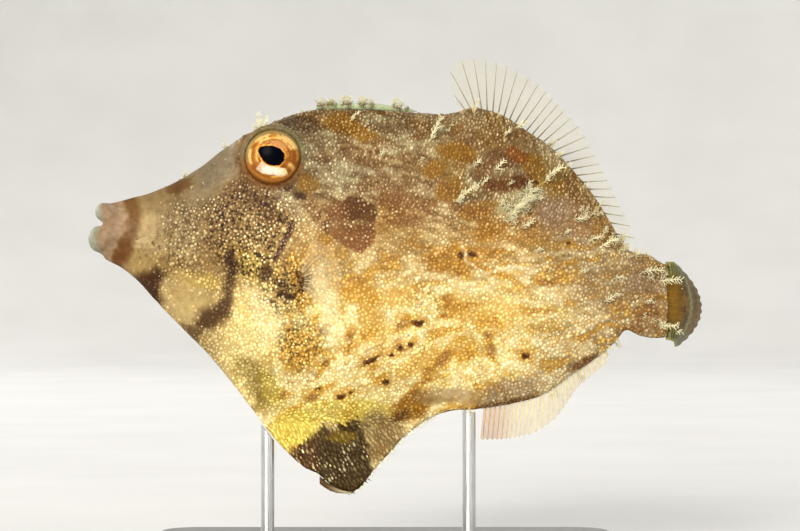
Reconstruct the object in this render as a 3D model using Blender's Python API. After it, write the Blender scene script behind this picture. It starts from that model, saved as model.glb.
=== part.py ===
"""An aiptasia-eating filefish at life size, swimming above a plain display stand.

The fish looks towards -X and its left side faces -Y. Its body is a half width laid over a side
outline, so every piece of flesh is cut from one and the same form. Sizes below are millimetres.
"""

import random
from bisect import bisect_right
from math import atan2, cos, exp, hypot, pi, radians, sin

import bmesh
import bpy
from mathutils import Matrix, Vector

MM = 0.001
GAP = 0.3
SEED = 7

# The side outline, as places along the fish and heights above the floor.
BACK_LINE = (
    (-42.2, 55.2), (-38.1, 56.2), (-34.9, 57.1), (-31.5, 58.6), (-27.8, 60.8), (-24.6, 63.3), (-21.4, 65.3),
    (-18.3, 66.8), (-14.2, 68.5), (-10.6, 69.4), (-1.5, 69.3), (5.8, 68.9), (9.3, 68.8), (13.5, 69.7),
    (17.8, 68.5), (21.9, 65.9), (25.0, 63.8), (27.8, 60.9), (31.4, 56.5), (34.1, 52.3), (35.6, 49.4),
    (37.3, 48.1), (39.9, 47.6), (41.7, 46.5), (43.0, 46.1),
)
KEEL_LINE = (
    (-42.2, 46.9), (-39.2, 45.3), (-36.7, 43.2), (-34.0, 40.1), (-30.5, 36.6), (-26.4, 32.4), (-22.0, 27.1),
    (-19.4, 23.6), (-16.7, 20.1), (-12.5, 15.9), (-10.0, 14.6), (-7.9, 12.9), (-5.6, 12.0), (-4.3, 12.2),
    (-3.2, 13.2), (-1.6, 15.3), (0.5, 17.6), (3.2, 20.5), (6.4, 22.8), (9.4, 24.0), (14.5, 24.4),
    (21.7, 25.8), (24.6, 27.0), (28.2, 29.6), (31.6, 31.9), (34.8, 34.5), (36.2, 36.2), (38.3, 35.3),
    (41.1, 34.9), (43.0, 35.2),
)
# Where the thick flesh ends below; the flap and the keel under it are a sheet.
BELLY_LINE = (
    (-42.2, 46.2), (-36.7, 42.4), (-30.5, 35.4), (-24.0, 28.4), (-18.0, 24.3), (-9.0, 21.6), (0.0, 21.4),
    (9.4, 23.0), (21.7, 25.0), (31.6, 31.0), (36.2, 34.4), (43.0, 34.3),
)
WIDEST_LINE = ((-42.2, 51.0), (-30.0, 50.0), (-12.0, 48.0), (12.0, 47.0), (30.0, 44.0), (43.0, 40.8))
HALF_WIDTH = (
    (-42.2, 2.3), (-38.0, 3.0), (-32.0, 3.7), (-25.0, 4.9), (-18.0, 6.2), (-10.0, 6.9), (0.0, 7.0),
    (10.0, 6.4), (20.0, 5.1), (29.0, 3.7), (36.0, 2.5), (43.0, 1.6),
)
SHEET_HALF = 0.62
PELVIC_RIDGE_HALF = 0.75
PELVIC_RIDGE_REACH = 2.0
EDGE_ROUND = 0.9

# The cuts between the pieces of flesh.
SNOUT_FACE = -42.2
HEAD_END = -13.7
TRUNK_END = 36.2
STALK_END = 42.6
FLAP_FRONT = (-21.6, 26.9)
FLAP_REAR = (9.2, 24.5)
GILL_HEIGHT = 52.0
GILL_LEAN_BELOW = 0.36
GILL_LEAN_ABOVE = 2.0

# The gill slit, just in front of the cut between head and trunk.
GILL_TOP = 52.2
GILL_LONG = 5.4
GILL_AHEAD = 0.75

# The tail stalk turns away from the viewer, and the tail fin goes on turning.
TAIL_TURN_START = 22.0
TAIL_TURN = 0.0075

# Eye, with the ring of skin round it.
EYE_PLACE = (-16.6, 62.0)
EYE_RADIUS = 4.15
EYE_DEPTH = 2.7
EYE_OUT = 4.05
LID_RADIUS = 4.55
LID_THICK = 0.55
ORBIT_RADIUS = 7.0
ORBIT_HALF = 4.6

# Nostrils, as place along the fish, height and radius.
NOSTRILS = ((-23.2, 61.0, 0.34), (-22.0, 61.6, 0.42))

# Lips: how far forward, the side reach and the thickness of each roll, and the pad under them.
LIP_CENTRE = -40.7
LIP_SIDE = 2.15
UPPER_LIP = {"front": 2.1, "height": 54.0, "drop": -0.75, "tall": 1.55, "thick": 0.85}
LOWER_LIP = {"front": 3.0, "height": 49.95, "drop": 0.45, "tall": 2.1, "thick": 0.95}
CHIN_PLACE = (-41.8, 0.0, 49.3)
CHIN_RADII = (1.9, 2.2, 1.9)

# Folded first dorsal spine, lying in its groove on the back.
SPINE_START = -10.3
SPINE_END = 4.8
SPINE_BED = 69.0
SPINE_HALF = 0.56

# Branched skin threads: place along the fish, height, rise in the side view in degrees, length.
HEAD_THREADS = ((-18.3, 66.2, 94, 2.5), (-24.2, 63.2, 82, 1.5), (-30.0, 59.0, 70, 1.2))
TRUNK_THREADS = (
    (-5.4, 67.4, 38, 2.5), (6.6, 64.5, 56, 4.9), (13.4, 68.4, 80, 2.4), (19.2, 66.6, 20, 2.2),
    (17.7, 64.8, 59, 2.0), (-0.9, 61.8, 55, 1.9), (12.9, 60.6, 39, 2.2), (16.0, 59.8, 50, 2.7),
    (10.0, 55.5, 30, 5.6), (25.6, 62.0, 45, 1.8), (23.5, 58.2, 36, 5.0), (18.3, 53.0, 43, 6.0),
    (28.0, 52.8, 14, 2.8), (32.0, 48.6, 26, 3.2), (32.6, 40.5, 37, 2.8), (24.0, 29.6, -40, 1.6),
    (33.0, 34.2, -30, 1.5), (31.6, 54.6, 40, 1.8),
)
STALK_THREADS = ((38.4, 45.0, 6, 3.6), (40.9, 43.6, 0, 4.0), (40.9, 37.2, 0, 4.0), (37.6, 47.2, 60, 1.4))
SPINE_THREADS = (
    (-9.0, 70.7, 100, 1.6), (-7.6, 70.7, 75, 1.6), (-5.2, 70.6, 80, 2.0), (-2.4, 70.5, 60, 1.8),
    (2.2, 70.2, 70, 1.7),
)
THREAD_HALF = 0.24
THREAD_SINK = 0.8
THREAD_JITTER = 0.8
TWIG_SHARE = 0.34
TWIG_TURN = 52.0

# Prickles along the flap's rear margin and at its tip.
FLAP_PRICKLES = 13
PRICKLE_LENGTH = 1.3
PRICKLE_START = -5.4
PRICKLE_END = 5.6

# Rudiment of the pelvic fin under the end of the pelvic bone.
RUDIMENT_START = -9.8
RUDIMENT_END = -5.0
RUDIMENT_HALF = 0.65

# Fins: half thickness at a ray and between rays, where each fin stands, and its number of rays.
RAY_HALF = 0.40
WEB_HALF = 0.26
DORSAL_START = 11.6
DORSAL_END = 35.2
DORSAL_RAYS = 28
ANAL_START = 14.8
ANAL_END = 33.6
ANAL_RAYS = 26
TAIL_LENGTH = 16.2
TAIL_FAN = 3.0
TAIL_DROOP = -4.6
TAIL_OVERHANG = 0.35
TAIL_RAYS = 12
TAIL_FAR_TURN = 74.5
TAIL_CUP_TURN = 9.0
TAIL_TURN_EASE = 2.9
TAIL_CUP_EASE = 0.6
PECTORAL_ROOT = (-12.4, 43.9)
PECTORAL_ROOT_HALF = 1.35
PECTORAL_LENGTH = 5.2
PECTORAL_RAYS = 11

BASE_LENGTH = 70.0
BASE_WIDTH = 42.0
BASE_THICK = 5.0
BASE_CORNER = 6.0
BASE_BEVEL = 0.8
ROD_RADIUS = 1.0
ROD_PLACES = {"stand_rod_front": -17.6, "stand_rod_rear": 12.6}


def clear_scene():
    for old in list(bpy.data.objects):
        bpy.data.objects.remove(old)


def smooth(value):
    value = max(0.0, min(1.0, value))
    return value * value * (3.0 - 2.0 * value)


def curve_through(points, place):
    """A smooth curve through the points, read at one place."""
    last = len(points) - 1
    low = max(0, min(last - 1, bisect_right([p[0] for p in points], place) - 1))

    def slope(k):
        before, after = points[max(k - 1, 0)], points[min(k + 1, last)]
        return (after[1] - before[1]) / (after[0] - before[0])

    (x0, z0), (x1, z1) = points[low], points[low + 1]
    step = x1 - x0
    t = max(0.0, min(1.0, (place - x0) / step))
    bend = step * (slope(low) * t * (1 - t) ** 2 - slope(low + 1) * t * t * (1 - t))
    return z0 + (z1 - z0) * smooth(t) + bend


def back(x):
    return curve_through(BACK_LINE, x)


def keel(x):
    return curve_through(KEEL_LINE, x)


def flap_top(x):
    """Height of the cut between trunk and flap, slightly arched."""
    t = (x - FLAP_FRONT[0]) / (FLAP_REAR[0] - FLAP_FRONT[0])
    if not 0.0 <= t <= 1.0:
        return 0.0
    return FLAP_FRONT[1] + (FLAP_REAR[1] - FLAP_FRONT[1]) * t + 1.6 * sin(pi * t)


def trunk_low(x):
    return max(keel(x), flap_top(x))


def middle(x):
    """How far the fish's middle plane has turned away at a place along it."""
    return TAIL_TURN * max(0.0, x - TAIL_TURN_START) ** 2


def sheet_half(x, z):
    """Half thickness of the thin edge, thicker over the spine's groove and the pelvic bone."""
    groove = 0.55 * smooth((x + 14.0) / 3.0) * smooth((8.0 - x) / 3.0) * smooth((z - 60.0) / 6.0)
    front = smooth((-3.5 - x) / 3.0) * smooth((x + 30.0) / 6.0)
    bone = PELVIC_RIDGE_HALF * front * exp(-(((z - keel(x)) * 0.65 / PELVIC_RIDGE_REACH) ** 2))
    return SHEET_HALF + groove + bone


def orbit_half(x, z):
    """Half width of the mound of flesh that carries the eye."""
    reach = hypot(x - EYE_PLACE[0], z - EYE_PLACE[1]) / ORBIT_RADIUS
    return ORBIT_HALF * max(0.0, 1.0 - reach * reach) ** 0.45


def half_width(x, z, round_top=True, round_low=True):
    """Half the fish's thickness at a point of the side view."""
    top, widest, belly = back(x), curve_through(WIDEST_LINE, x), curve_through(BELLY_LINE, x)
    girth = curve_through(HALF_WIDTH, x)
    if z >= widest:
        part = min(1.0, (z - widest) / (top - widest))
        flesh = girth * (1.0 - part ** 1.9) ** 0.62
    else:
        part = min(1.0, (widest - z) / (widest - belly))
        flesh = girth * (1.0 - part ** 2.1) ** 0.8
    width = (flesh ** 3 + sheet_half(x, z) ** 3) ** (1.0 / 3.0)
    width = (width ** 5 + orbit_half(x, z) ** 5) ** 0.2
    depth = EDGE_ROUND
    if round_top:
        depth = min(depth, top - z)
    if round_low:
        depth = min(depth, z - keel(x))
    inner = 1.0 - max(0.0, depth) / EDGE_ROUND
    return width * (0.55 + 0.45 * (1.0 - inner * inner) ** 0.5)


def add_object(name, mesh):
    thing = bpy.data.objects.new(name, mesh)
    bpy.context.collection.objects.link(thing)
    return thing


def make_mesh(name, corners, faces):
    """A mesh from corners in millimetres, with its faces turned outwards."""
    mesh = bpy.data.meshes.new(name)
    mesh.from_pydata([Vector(c) * MM for c in corners], [], faces)
    build = bmesh.new()
    build.from_mesh(mesh)
    bmesh.ops.triangulate(build, faces=build.faces)
    bmesh.ops.recalc_face_normals(build, faces=build.faces)
    build.to_mesh(mesh)
    build.free()
    return mesh


def ring_faces(rings, sides, closed_ends=True):
    """Quads between rings of corners that follow one another."""
    faces = []
    for k in range(rings - 1):
        for i in range(sides):
            j = (i + 1) % sides
            faces.append((k * sides + i, k * sides + j, (k + 1) * sides + j, (k + 1) * sides + i))
    if closed_ends:
        faces.append(tuple(range(sides)))
        faces.append(tuple((rings - 1) * sides + i for i in reversed(range(sides))))
    return faces


def strip_caps(rings, rows):
    """Close both ends of a body piece with rungs between its left and right sides."""
    faces = []
    sides = 2 * rows
    for start in (0, (rings - 1) * sides):
        for j in range(rows - 1):
            faces.append((start + j, start + j + 1, start + sides - 2 - j, start + sides - 1 - j))
    return faces


def spread(count, ends=0.55):
    """Fractions from 0 to 1, closer together near both ends."""
    flat = [k / (count - 1) for k in range(count)]
    return [(1 - ends) * t + ends * (0.5 - 0.5 * cos(pi * t)) for t in flat]


def gill_lean(x, z):
    """How far a column leans, most at the gill slit and nothing at the snout and the stalk."""
    weight = smooth((x + 36.0) / 20.0) * smooth((24.0 - x) / 30.0)
    rise = z - GILL_HEIGHT
    return weight * (GILL_LEAN_BELOW * min(0.0, rise) + GILL_LEAN_ABOVE * smooth(rise / 10.0))


def flesh(name, columns, rows, low_line, top_line, round_top=True, round_low=True, lean=True):
    """One closed piece of the body between two lines of the side view."""
    corners = []
    heights = spread(rows)
    for place in columns:
        side = []
        for part in heights:
            x = place
            for _ in range(12):
                z = low_line(x) + (top_line(x) - low_line(x)) * part
                x = place + (gill_lean(place, z) if lean else 0.0)
            side.append((x, half_width(x, z, round_top, round_low), z))
        corners += [(x, middle(x) - w, z) for x, w, z in side]
        corners += [(x, middle(x) + w, z) for x, w, z in reversed(side)]
    faces = ring_faces(len(columns), 2 * rows, closed_ends=False) + strip_caps(len(columns), rows)
    return add_object(name, make_mesh(name, corners, faces))


def places(start, end, step):
    count = max(2, round((end - start) / step) + 1)
    return [start + (end - start) * k / (count - 1) for k in range(count)]


def roll(name, path, sizes, sides=8):
    """A closed roll of elliptic section along a path; sizes are across and up."""
    corners = []
    for k, point in enumerate(path):
        ahead = Vector(path[min(k + 1, len(path) - 1)]) - Vector(path[max(k - 1, 0)])
        up = Vector((0, 0, 1))
        across = ahead.cross(up).normalized()
        up = across.cross(ahead).normalized()
        wide, tall = sizes[k]
        for i in range(sides):
            turn = 2 * pi * i / sides
            corners.append(Vector(point) + across * wide * cos(turn) + up * tall * sin(turn))
    return add_object(name, make_mesh(name, corners, ring_faces(len(path), sides)))


def lip(name, size, steps=10):
    """A fleshy lip that runs round the snout's end from one mouth corner to the other."""
    path, sizes = [], []
    for k in range(steps + 1):
        turn = radians(-105 + 210 * k / steps)
        fade = 0.45 + 0.55 * cos(turn * 0.8)
        rise = size["drop"] * (1 - cos(turn))
        path.append((LIP_CENTRE - size["front"] * cos(turn), LIP_SIDE * sin(turn), size["height"] + rise))
        sizes.append((size["thick"] * fade, size["tall"] * fade))
    return roll(name, path, sizes)


def ellipsoid(name, centre, radii, turn=None, segments=24, rings=14):
    build = bmesh.new()
    bmesh.ops.create_uvsphere(build, u_segments=segments, v_segments=rings, radius=1.0)
    place = Matrix.Translation(Vector(centre) * MM) @ (turn or Matrix())
    place = place @ Matrix.Diagonal([r * MM for r in radii] + [1.0])
    bmesh.ops.transform(build, matrix=place, verts=build.verts)
    mesh = bpy.data.meshes.new(name)
    build.to_mesh(mesh)
    build.free()
    return add_object(name, mesh)


def eye_ball(name, side, grow=0.0, segments=24, rings=14):
    """An eyeball with its poles facing out and in; grow makes the socket's cutter."""
    centre = (EYE_PLACE[0], side * EYE_OUT, EYE_PLACE[1])
    radii = (EYE_RADIUS + grow, EYE_RADIUS + grow, EYE_DEPTH + grow)
    turn = Matrix.Rotation(radians(90), 4, "X")
    return ellipsoid(name, centre, radii, turn, segments, rings)


def lid_ring(name, side, around=22, sides=5):
    """The raised ring of skin round an eye."""
    corners = []
    for k in range(around):
        turn = 2 * pi * k / around
        out = Vector((cos(turn), 0.0, sin(turn)))
        x, z = EYE_PLACE[0] + LID_RADIUS * cos(turn), EYE_PLACE[1] + LID_RADIUS * sin(turn)
        y = max(EYE_OUT + 0.1, min(half_width(x, min(z, back(x) - 0.5)) + 0.1, EYE_OUT + 1.2))
        for i in range(sides):
            roll_turn = 2 * pi * i / sides
            deep = 1.5 if sin(roll_turn) < 0 else 1.0
            shift = out * LID_THICK * cos(roll_turn)
            shift.y += side * deep * LID_THICK * sin(roll_turn)
            corners.append(Vector((x, side * y, z)) + shift)
    faces = []
    for k in range(around):
        nxt = (k + 1) % around
        for i in range(sides):
            j = (i + 1) % sides
            faces.append((k * sides + i, k * sides + j, nxt * sides + j, nxt * sides + i))
    return add_object(name, make_mesh(name, corners, faces))


def fin_sheet(name, columns, normals, halves):
    """A closed fin: columns of points from root to edge, each with a half thickness."""
    rows = len(columns[0])
    corners = []
    for side in (1, -1):
        for column, normal, half in zip(columns, normals, halves):
            corners += [Vector(p) + Vector(n) * side * h for p, n, h in zip(column, normal, half)]
    count = len(columns) * rows
    faces = []
    for k in range(len(columns) - 1):
        for j in range(rows - 1):
            a, b = k * rows + j, (k + 1) * rows + j
            faces += [(a, b, b + 1), (a, b + 1, a + 1)]
            faces += [(count + a, count + b + 1, count + b), (count + a, count + a + 1, count + b + 1)]
    last = (len(columns) - 1) * rows
    for j in range(rows - 1):
        for start in (0, last):
            faces.append((start + j, start + j + 1, count + start + j + 1, count + start + j))
    for k in range(len(columns) - 1):
        for start in (0, rows - 1):
            a, b = k * rows + start, (k + 1) * rows + start
            faces.append((a, b, count + b, count + a))
    return add_object(name, make_mesh(name, corners, faces))


def rayed_halves(column, rows, scale=1.0):
    """Thicker on every second column, where a ray runs, and thinner towards the edge."""
    base = (RAY_HALF if column % 2 else WEB_HALF) * scale
    return [max(WEB_HALF * 0.9, base * (1.0 - 0.3 * j / (rows - 1))) for j in range(rows)]


def edge_fin(name, line, reach_along, rays, length, lean, upward, rows=5):
    """A fin along the back or the belly, standing on the body's edge."""
    columns, normals, halves = [], [], []
    count = 2 * rays + 1
    for k in range(count):
        t = k / (count - 1)
        x = reach_along[0] + (reach_along[1] - reach_along[0]) * t
        slope = (line(x + 0.4) - line(x - 0.4)) / 0.8
        out = Vector((-slope, 0.0, 1.0)).normalized() * upward
        root = Vector((x, middle(x), line(x))) + out * GAP
        turn = Matrix.Rotation(lean(t) * upward, 3, "Y")
        ray = turn @ out
        reach = length(t) * (1.0 if k % 2 else 0.93)
        wave = 0.35 * sin(9.0 * t + (0.0 if upward > 0 else 1.2))
        column = []
        for j in range(rows):
            part = j / (rows - 1)
            column.append(root + ray * reach * part + Vector((0, wave * part * part, 0)))
        columns.append(column)
        normals.append([(0, 1, 0)] * rows)
        halves.append(rayed_halves(k, rows))
    return fin_sheet(name, columns, normals, halves)


def dorsal_length(t):
    return 7.4 * smooth(0.25 + t * 9.0) * (1.0 - 0.62 * smooth((t - 0.1) / 0.9))


def dorsal_lean(t):
    return radians(-22 + 62 * smooth(t * 1.1))


def anal_length(t):
    return (4.6 + 0.8 * sin(pi * min(1.0, t * 1.3))) * (1.0 - 0.55 * smooth((t - 0.35) / 0.65))


def anal_lean(t):
    return radians(-14 - 30 * smooth(t))


def tail_heading(s, edge):
    """Angle by which the tail fin has turned away at a distance from its root; its edges cup round further."""
    first = atan2(2 * TAIL_TURN * (STALK_END - TAIL_TURN_START), 1.0)
    last = radians(TAIL_FAR_TURN + TAIL_CUP_TURN * edge)
    return last - (last - first) * exp(-s / (TAIL_TURN_EASE * (1.0 - TAIL_CUP_EASE * edge)))


def tail_ray(t, reach, rows, fine=12):
    """Points of one ray of the tail fin and the way it heads at each."""
    edge = (2 * t - 1) ** 2
    slope = sin(radians(TAIL_DROOP + TAIL_FAN * (2 * t - 1)))
    low, top = keel(STALK_END) - TAIL_OVERHANG, back(STALK_END) + TAIL_OVERHANG
    point = Vector((STALK_END + GAP, middle(STALK_END), low + (top - low) * t))
    points, headings, gone = [point.copy()], [tail_heading(0.0, edge)], 0.0
    for j in range(1, rows):
        step = (reach * (j / (rows - 1)) ** 1.4 - gone) / fine
        for _ in range(fine):
            turn = tail_heading(gone + step / 2, edge)
            point += Vector((cos(turn), sin(turn), slope)) * step
            gone += step
        points.append(point.copy())
        headings.append(tail_heading(gone, edge))
    return points, headings


def tail_fin(name, rows=10):
    """The rounded tail fin, curving away from the viewer and cupped at its edges."""
    rays = 2 * TAIL_RAYS + 1
    columns, normals, halves = [], [], []
    for k in range(rays):
        t = k / (rays - 1)
        reach = TAIL_LENGTH * (0.62 + 0.38 * max(0.0, sin(pi * t)) ** 0.6) * (1.0 if k % 2 else 0.96)
        points, headings = tail_ray(t, reach, rows)
        columns.append(points)
        normals.append([(-sin(turn), cos(turn), 0.0) for turn in headings])
        halves.append(rayed_halves(k, rows, 1.1))
    return fin_sheet(name, columns, normals, halves)


def pectoral_fin(name, side, rows=5):
    """The small fan behind the gill slit, spread up and back off the flank."""
    count = 2 * PECTORAL_RAYS + 1
    columns, normals, halves = [], [], []
    for k in range(count):
        t = k / (count - 1)
        fan = radians(-38 + 108 * t)
        x = PECTORAL_ROOT[0] - 0.25 * (t - 0.5)
        z = PECTORAL_ROOT[1] + PECTORAL_ROOT_HALF * (2 * t - 1)
        y = half_width(x, z) + GAP + RAY_HALF
        reach = (PECTORAL_LENGTH + 1.2 * sin(pi * t)) * (1.0 if k % 2 else 0.95)
        column, normal = [], []
        for j in range(rows):
            part = j / (rows - 1)
            out = 0.34 + 0.5 * part
            point = (x + cos(fan) * reach * part, side * (y + out * part * 2.6), z + sin(fan) * reach * part)
            column.append(point)
            normal.append((-0.3, side * 0.95, 0.0))
        columns.append(column)
        normals.append(normal)
        halves.append(rayed_halves(k, rows, 0.95))
    return fin_sheet(name, columns, normals, halves)


def section(points, k, wide, tall, sides):
    """Corners of an elliptic section of a thread, square to its run."""
    ahead = (Vector(points[min(k + 1, len(points) - 1)]) - Vector(points[max(k - 1, 0)])).normalized()
    helper = Vector((0, 1, 0)) if abs(ahead.y) < 0.8 else Vector((1, 0, 0))
    across = ahead.cross(helper).normalized()
    other = across.cross(ahead).normalized()
    turns = [2 * pi * i / sides for i in range(sides)]
    return [Vector(points[k]) + across * wide * cos(turn) + other * tall * sin(turn) for turn in turns]


def spike(name, points, thick, sides=4):
    """A tapering closed thread that ends in a point."""
    count = len(points)
    corners = []
    for k in range(count - 1):
        half = thick * (1.0 - 0.6 * k / (count - 1))
        corners += section(points, k, half, half, sides)
    faces = ring_faces(count - 1, sides, closed_ends=False) + [tuple(range(sides))]
    last = (count - 2) * sides
    corners.append(Vector(points[-1]))
    faces += [(last + i, last + (i + 1) % sides, last + sides) for i in range(sides)]
    return add_object(name, make_mesh(name, corners, faces))


def branched_thread(root, out, along, length):
    """One skin thread: a stem that leaves the skin, bends over and bears twigs on both sides."""
    start = root - out * THREAD_SINK
    lift = (along * 0.55 + out * 0.65).normalized()
    lie = (along * 0.92 + out * 0.30).normalized()
    middle_point = root + lift * length * 0.45
    end = middle_point + lie * length * 0.6
    pieces = [spike("stem", [start, middle_point, end], THREAD_HALF)]
    twigs = max(2, min(5, round(length)))
    for k in range(twigs):
        part = 0.25 + 0.55 * k / max(1, twigs - 1)
        foot = root.lerp(end, part) + lift * length * 0.12 * (1.0 - abs(2 * part - 1.0))
        swing = Matrix.Rotation(radians(TWIG_TURN * (1 if k % 2 else -1)), 3, out)
        twig = (swing @ along + out * 0.25).normalized() * max(0.55, length * TWIG_SHARE)
        pieces.append(spike("twig", [foot - twig * 0.12, foot + twig], THREAD_HALF * 0.7, 3))
    return pieces


def skin_threads(spots):
    """The threads of one piece, as seen on the near flank and varied on the far one."""
    pieces = []
    for side in (-1, 1):
        for x, z, rise, length in spots:
            if side > 0:
                x += random.uniform(-THREAD_JITTER, THREAD_JITTER) * 0.5
                z -= random.uniform(0.0, THREAD_JITTER)
                rise += random.uniform(-14, 14)
            slope_x = half_width(x + 0.3, z) - half_width(x - 0.3, z)
            slope_z = half_width(x, z + 0.3) - half_width(x, z - 0.3)
            out = Vector((-slope_x / 0.6, side, -slope_z / 0.6)).normalized()
            root = Vector((x, middle(x) + side * half_width(x, z), z))
            along = Vector((cos(radians(rise)), 0.0, sin(radians(rise))))
            pieces += branched_thread(root, out, along, length)
    return pieces


def spine_threads():
    pieces = []
    for k, (x, z, rise, length) in enumerate(SPINE_THREADS):
        out = Vector((0.0, 0.6 if k % 2 else -0.6, 0.8)).normalized()
        along = Vector((cos(radians(rise)), 0.0, sin(radians(rise))))
        pieces += branched_thread(Vector((x, out.y * 0.3, z - 0.15)), out, along, length)
    return pieces


def flap_prickles():
    """Short spines along the free rear margin of the flap."""
    pieces = []
    for k in range(FLAP_PRICKLES):
        x = PRICKLE_START + (PRICKLE_END - PRICKLE_START) * k / (FLAP_PRICKLES - 1)
        slope = keel(x + 0.5) - keel(x - 0.5)
        out = Vector((slope, 0.0, -1.0)).normalized()
        foot = Vector((x, 0.0, keel(x)))
        tip = out * PRICKLE_LENGTH + Vector((0.5, random.uniform(-0.25, 0.25), -0.2))
        pieces.append(spike("prickle", [foot - out * 0.9, foot + tip], 0.3, 3))
    return pieces


def thread(name, points, sizes, sides):
    """A blunt closed thread; sizes are its half widths at each point."""
    corners = []
    for k, (wide, tall) in enumerate(sizes):
        corners += section(points, k, wide, tall, sides)
    return add_object(name, make_mesh(name, corners, ring_faces(len(points), sides)))


def spine_half(t):
    """Half thickness of the folded spine: full along its middle, narrower at its root, thin at its tip."""
    return SPINE_HALF * (0.65 + 0.35 * smooth(5.0 * t)) * (1.0 - 0.6 * smooth((t - 0.55) / 0.45))


def dorsal_spine(name):
    """The first dorsal spine, folded back along the groove of the back."""
    points, sizes = [], []
    for k in range(13):
        t = k / 12
        x = SPINE_START + (SPINE_END - SPINE_START) * t
        points.append((x, 0.0, max(back(x), SPINE_BED) + GAP + spine_half(t)))
        sizes.append((spine_half(t), spine_half(t)))
    return thread(name, points, sizes, 8)


def stand_base(name):
    """A flat base with round corners and a softened upper edge."""
    build = bmesh.new()
    bmesh.ops.create_cube(build, size=1.0)
    size = Matrix.Diagonal((BASE_LENGTH * MM, BASE_WIDTH * MM, BASE_THICK * MM, 1.0))
    place = Matrix.Translation((0, 0, BASE_THICK * MM / 2)) @ size
    bmesh.ops.transform(build, matrix=place, verts=build.verts)
    upright = [e for e in build.edges if abs(e.verts[0].co.z - e.verts[1].co.z) > MM]
    bmesh.ops.bevel(build, geom=upright, offset=BASE_CORNER * MM, segments=6, affect="EDGES", profile=0.5)
    rim = [e for e in build.edges if min(v.co.z for v in e.verts) > (BASE_THICK - 0.01) * MM]
    bmesh.ops.bevel(build, geom=rim, offset=BASE_BEVEL * MM, segments=3, affect="EDGES", profile=0.5)
    mesh = bpy.data.meshes.new(name)
    build.to_mesh(mesh)
    build.free()
    return add_object(name, mesh)


def stand_rod(name, x, sides=16):
    """A rod from the base up to the fish, its upper end cut to the slope it meets."""
    corners = []
    for level in range(2):
        for i in range(sides):
            turn = 2 * pi * i / sides
            px, py = x + ROD_RADIUS * cos(turn), ROD_RADIUS * sin(turn)
            height = BASE_THICK + GAP if level == 0 else keel(px) - GAP
            corners.append((px, py, height))
    return add_object(name, make_mesh(name, corners, ring_faces(2, sides)))


def pelvic_rudiment(name):
    """The small spiny scale at the end of the pelvic bone."""
    points, sizes = [], []
    for k in range(6):
        t = k / 5
        half = RUDIMENT_HALF * (1.0 - 0.55 * t)
        x = RUDIMENT_START + (RUDIMENT_END - RUDIMENT_START) * t
        low = min(keel(x + d) for d in (-0.6, -0.3, 0.0, 0.3, 0.6))
        points.append((x, 0.0, low - GAP - half))
        sizes.append((half, half))
    return thread(name, points, sizes, 6)


def paint(thing, colour, rough, metallic=0.0):
    material = bpy.data.materials.new(thing.name)
    material.use_nodes = True
    shader = material.node_tree.nodes["Principled BSDF"]
    shader.inputs["Base Color"].default_value = (*colour, 1.0)
    shader.inputs["Roughness"].default_value = rough
    shader.inputs["Metallic"].default_value = metallic
    thing.data.materials.clear()
    thing.data.materials.append(material)
    thing.data.shade_smooth()
    thing.data.set_sharp_from_angle(angle=radians(50))


def combine(thing, others, operation, solver="EXACT"):
    """Join or cut one piece with several closed ones, then drop those."""
    if not others:
        return thing
    group = bpy.data.collections.new(thing.name + "_pieces")
    for other in others:
        group.objects.link(other)
    step = thing.modifiers.new(operation.lower(), "BOOLEAN")
    step.operation = operation
    step.solver = solver
    step.operand_type = "COLLECTION"
    step.collection = group
    if solver == "EXACT":
        step.use_self = operation == "UNION"
    depsgraph = bpy.context.evaluated_depsgraph_get()
    joined = bpy.data.meshes.new_from_object(thing.evaluated_get(depsgraph))
    thing.modifiers.clear()
    thing.data = joined
    for other in list(group.objects):
        bpy.data.objects.remove(other)
    bpy.data.collections.remove(group)
    keep_largest(thing)
    return thing


def keep_largest(thing):
    """Leave only the largest closed surface of a piece, made of triangles."""
    build = bmesh.new()
    build.from_mesh(thing.data)
    bmesh.ops.triangulate(build, faces=build.faces)
    left = set(build.faces)
    surfaces = []
    while left:
        surface, edge = set(), [left.pop()]
        while edge:
            face = edge.pop()
            surface.add(face)
            for side in face.edges:
                for other in side.link_faces:
                    if other in left:
                        left.remove(other)
                        edge.append(other)
        surfaces.append(surface)
    largest = max(surfaces, key=len)
    bmesh.ops.delete(build, geom=[f for f in build.faces if f not in largest], context="FACES")
    build.to_mesh(thing.data)
    build.free()


def nostril(name, x, z, side, radius):
    y = half_width(x, z)
    return ellipsoid(name, (x, side * y, z), (radius, 0.5, radius), None, 8, 6)


def gill_slit(name, side):
    """A narrow curved opening just in front of the trunk."""
    points = []
    for k in range(7):
        z = GILL_TOP - GILL_LONG * k / 6
        x = HEAD_END + gill_lean(HEAD_END, z) - GILL_AHEAD - 0.25 * sin(pi * k / 6)
        points.append((x, side * (half_width(x, z) + 0.05), z))
    sizes = [(0.16 + 0.34 * sin(pi * k / 6), 0.5 + 0.3 * sin(pi * k / 6)) for k in range(7)]
    return thread(name, points, sizes, 6)


def flesh_finish(thing):
    paint(thing, (0.50, 0.34, 0.16), 0.55)


def flap_finish(thing):
    paint(thing, (0.30, 0.20, 0.08), 0.6)


def eye_finish(thing):
    paint(thing, (0.62, 0.36, 0.08), 0.15)


def clear_fin_finish(thing):
    paint(thing, (0.62, 0.56, 0.38), 0.35)


def tail_fin_finish(thing):
    paint(thing, (0.28, 0.24, 0.09), 0.4)


def spine_finish(thing):
    paint(thing, (0.40, 0.45, 0.26), 0.5)


def scale_finish(thing):
    paint(thing, (0.55, 0.48, 0.28), 0.6)


def base_finish(thing):
    paint(thing, (0.03, 0.03, 0.03), 0.35)


def rod_finish(thing):
    paint(thing, (0.6, 0.6, 0.58), 0.3, 1.0)


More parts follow.
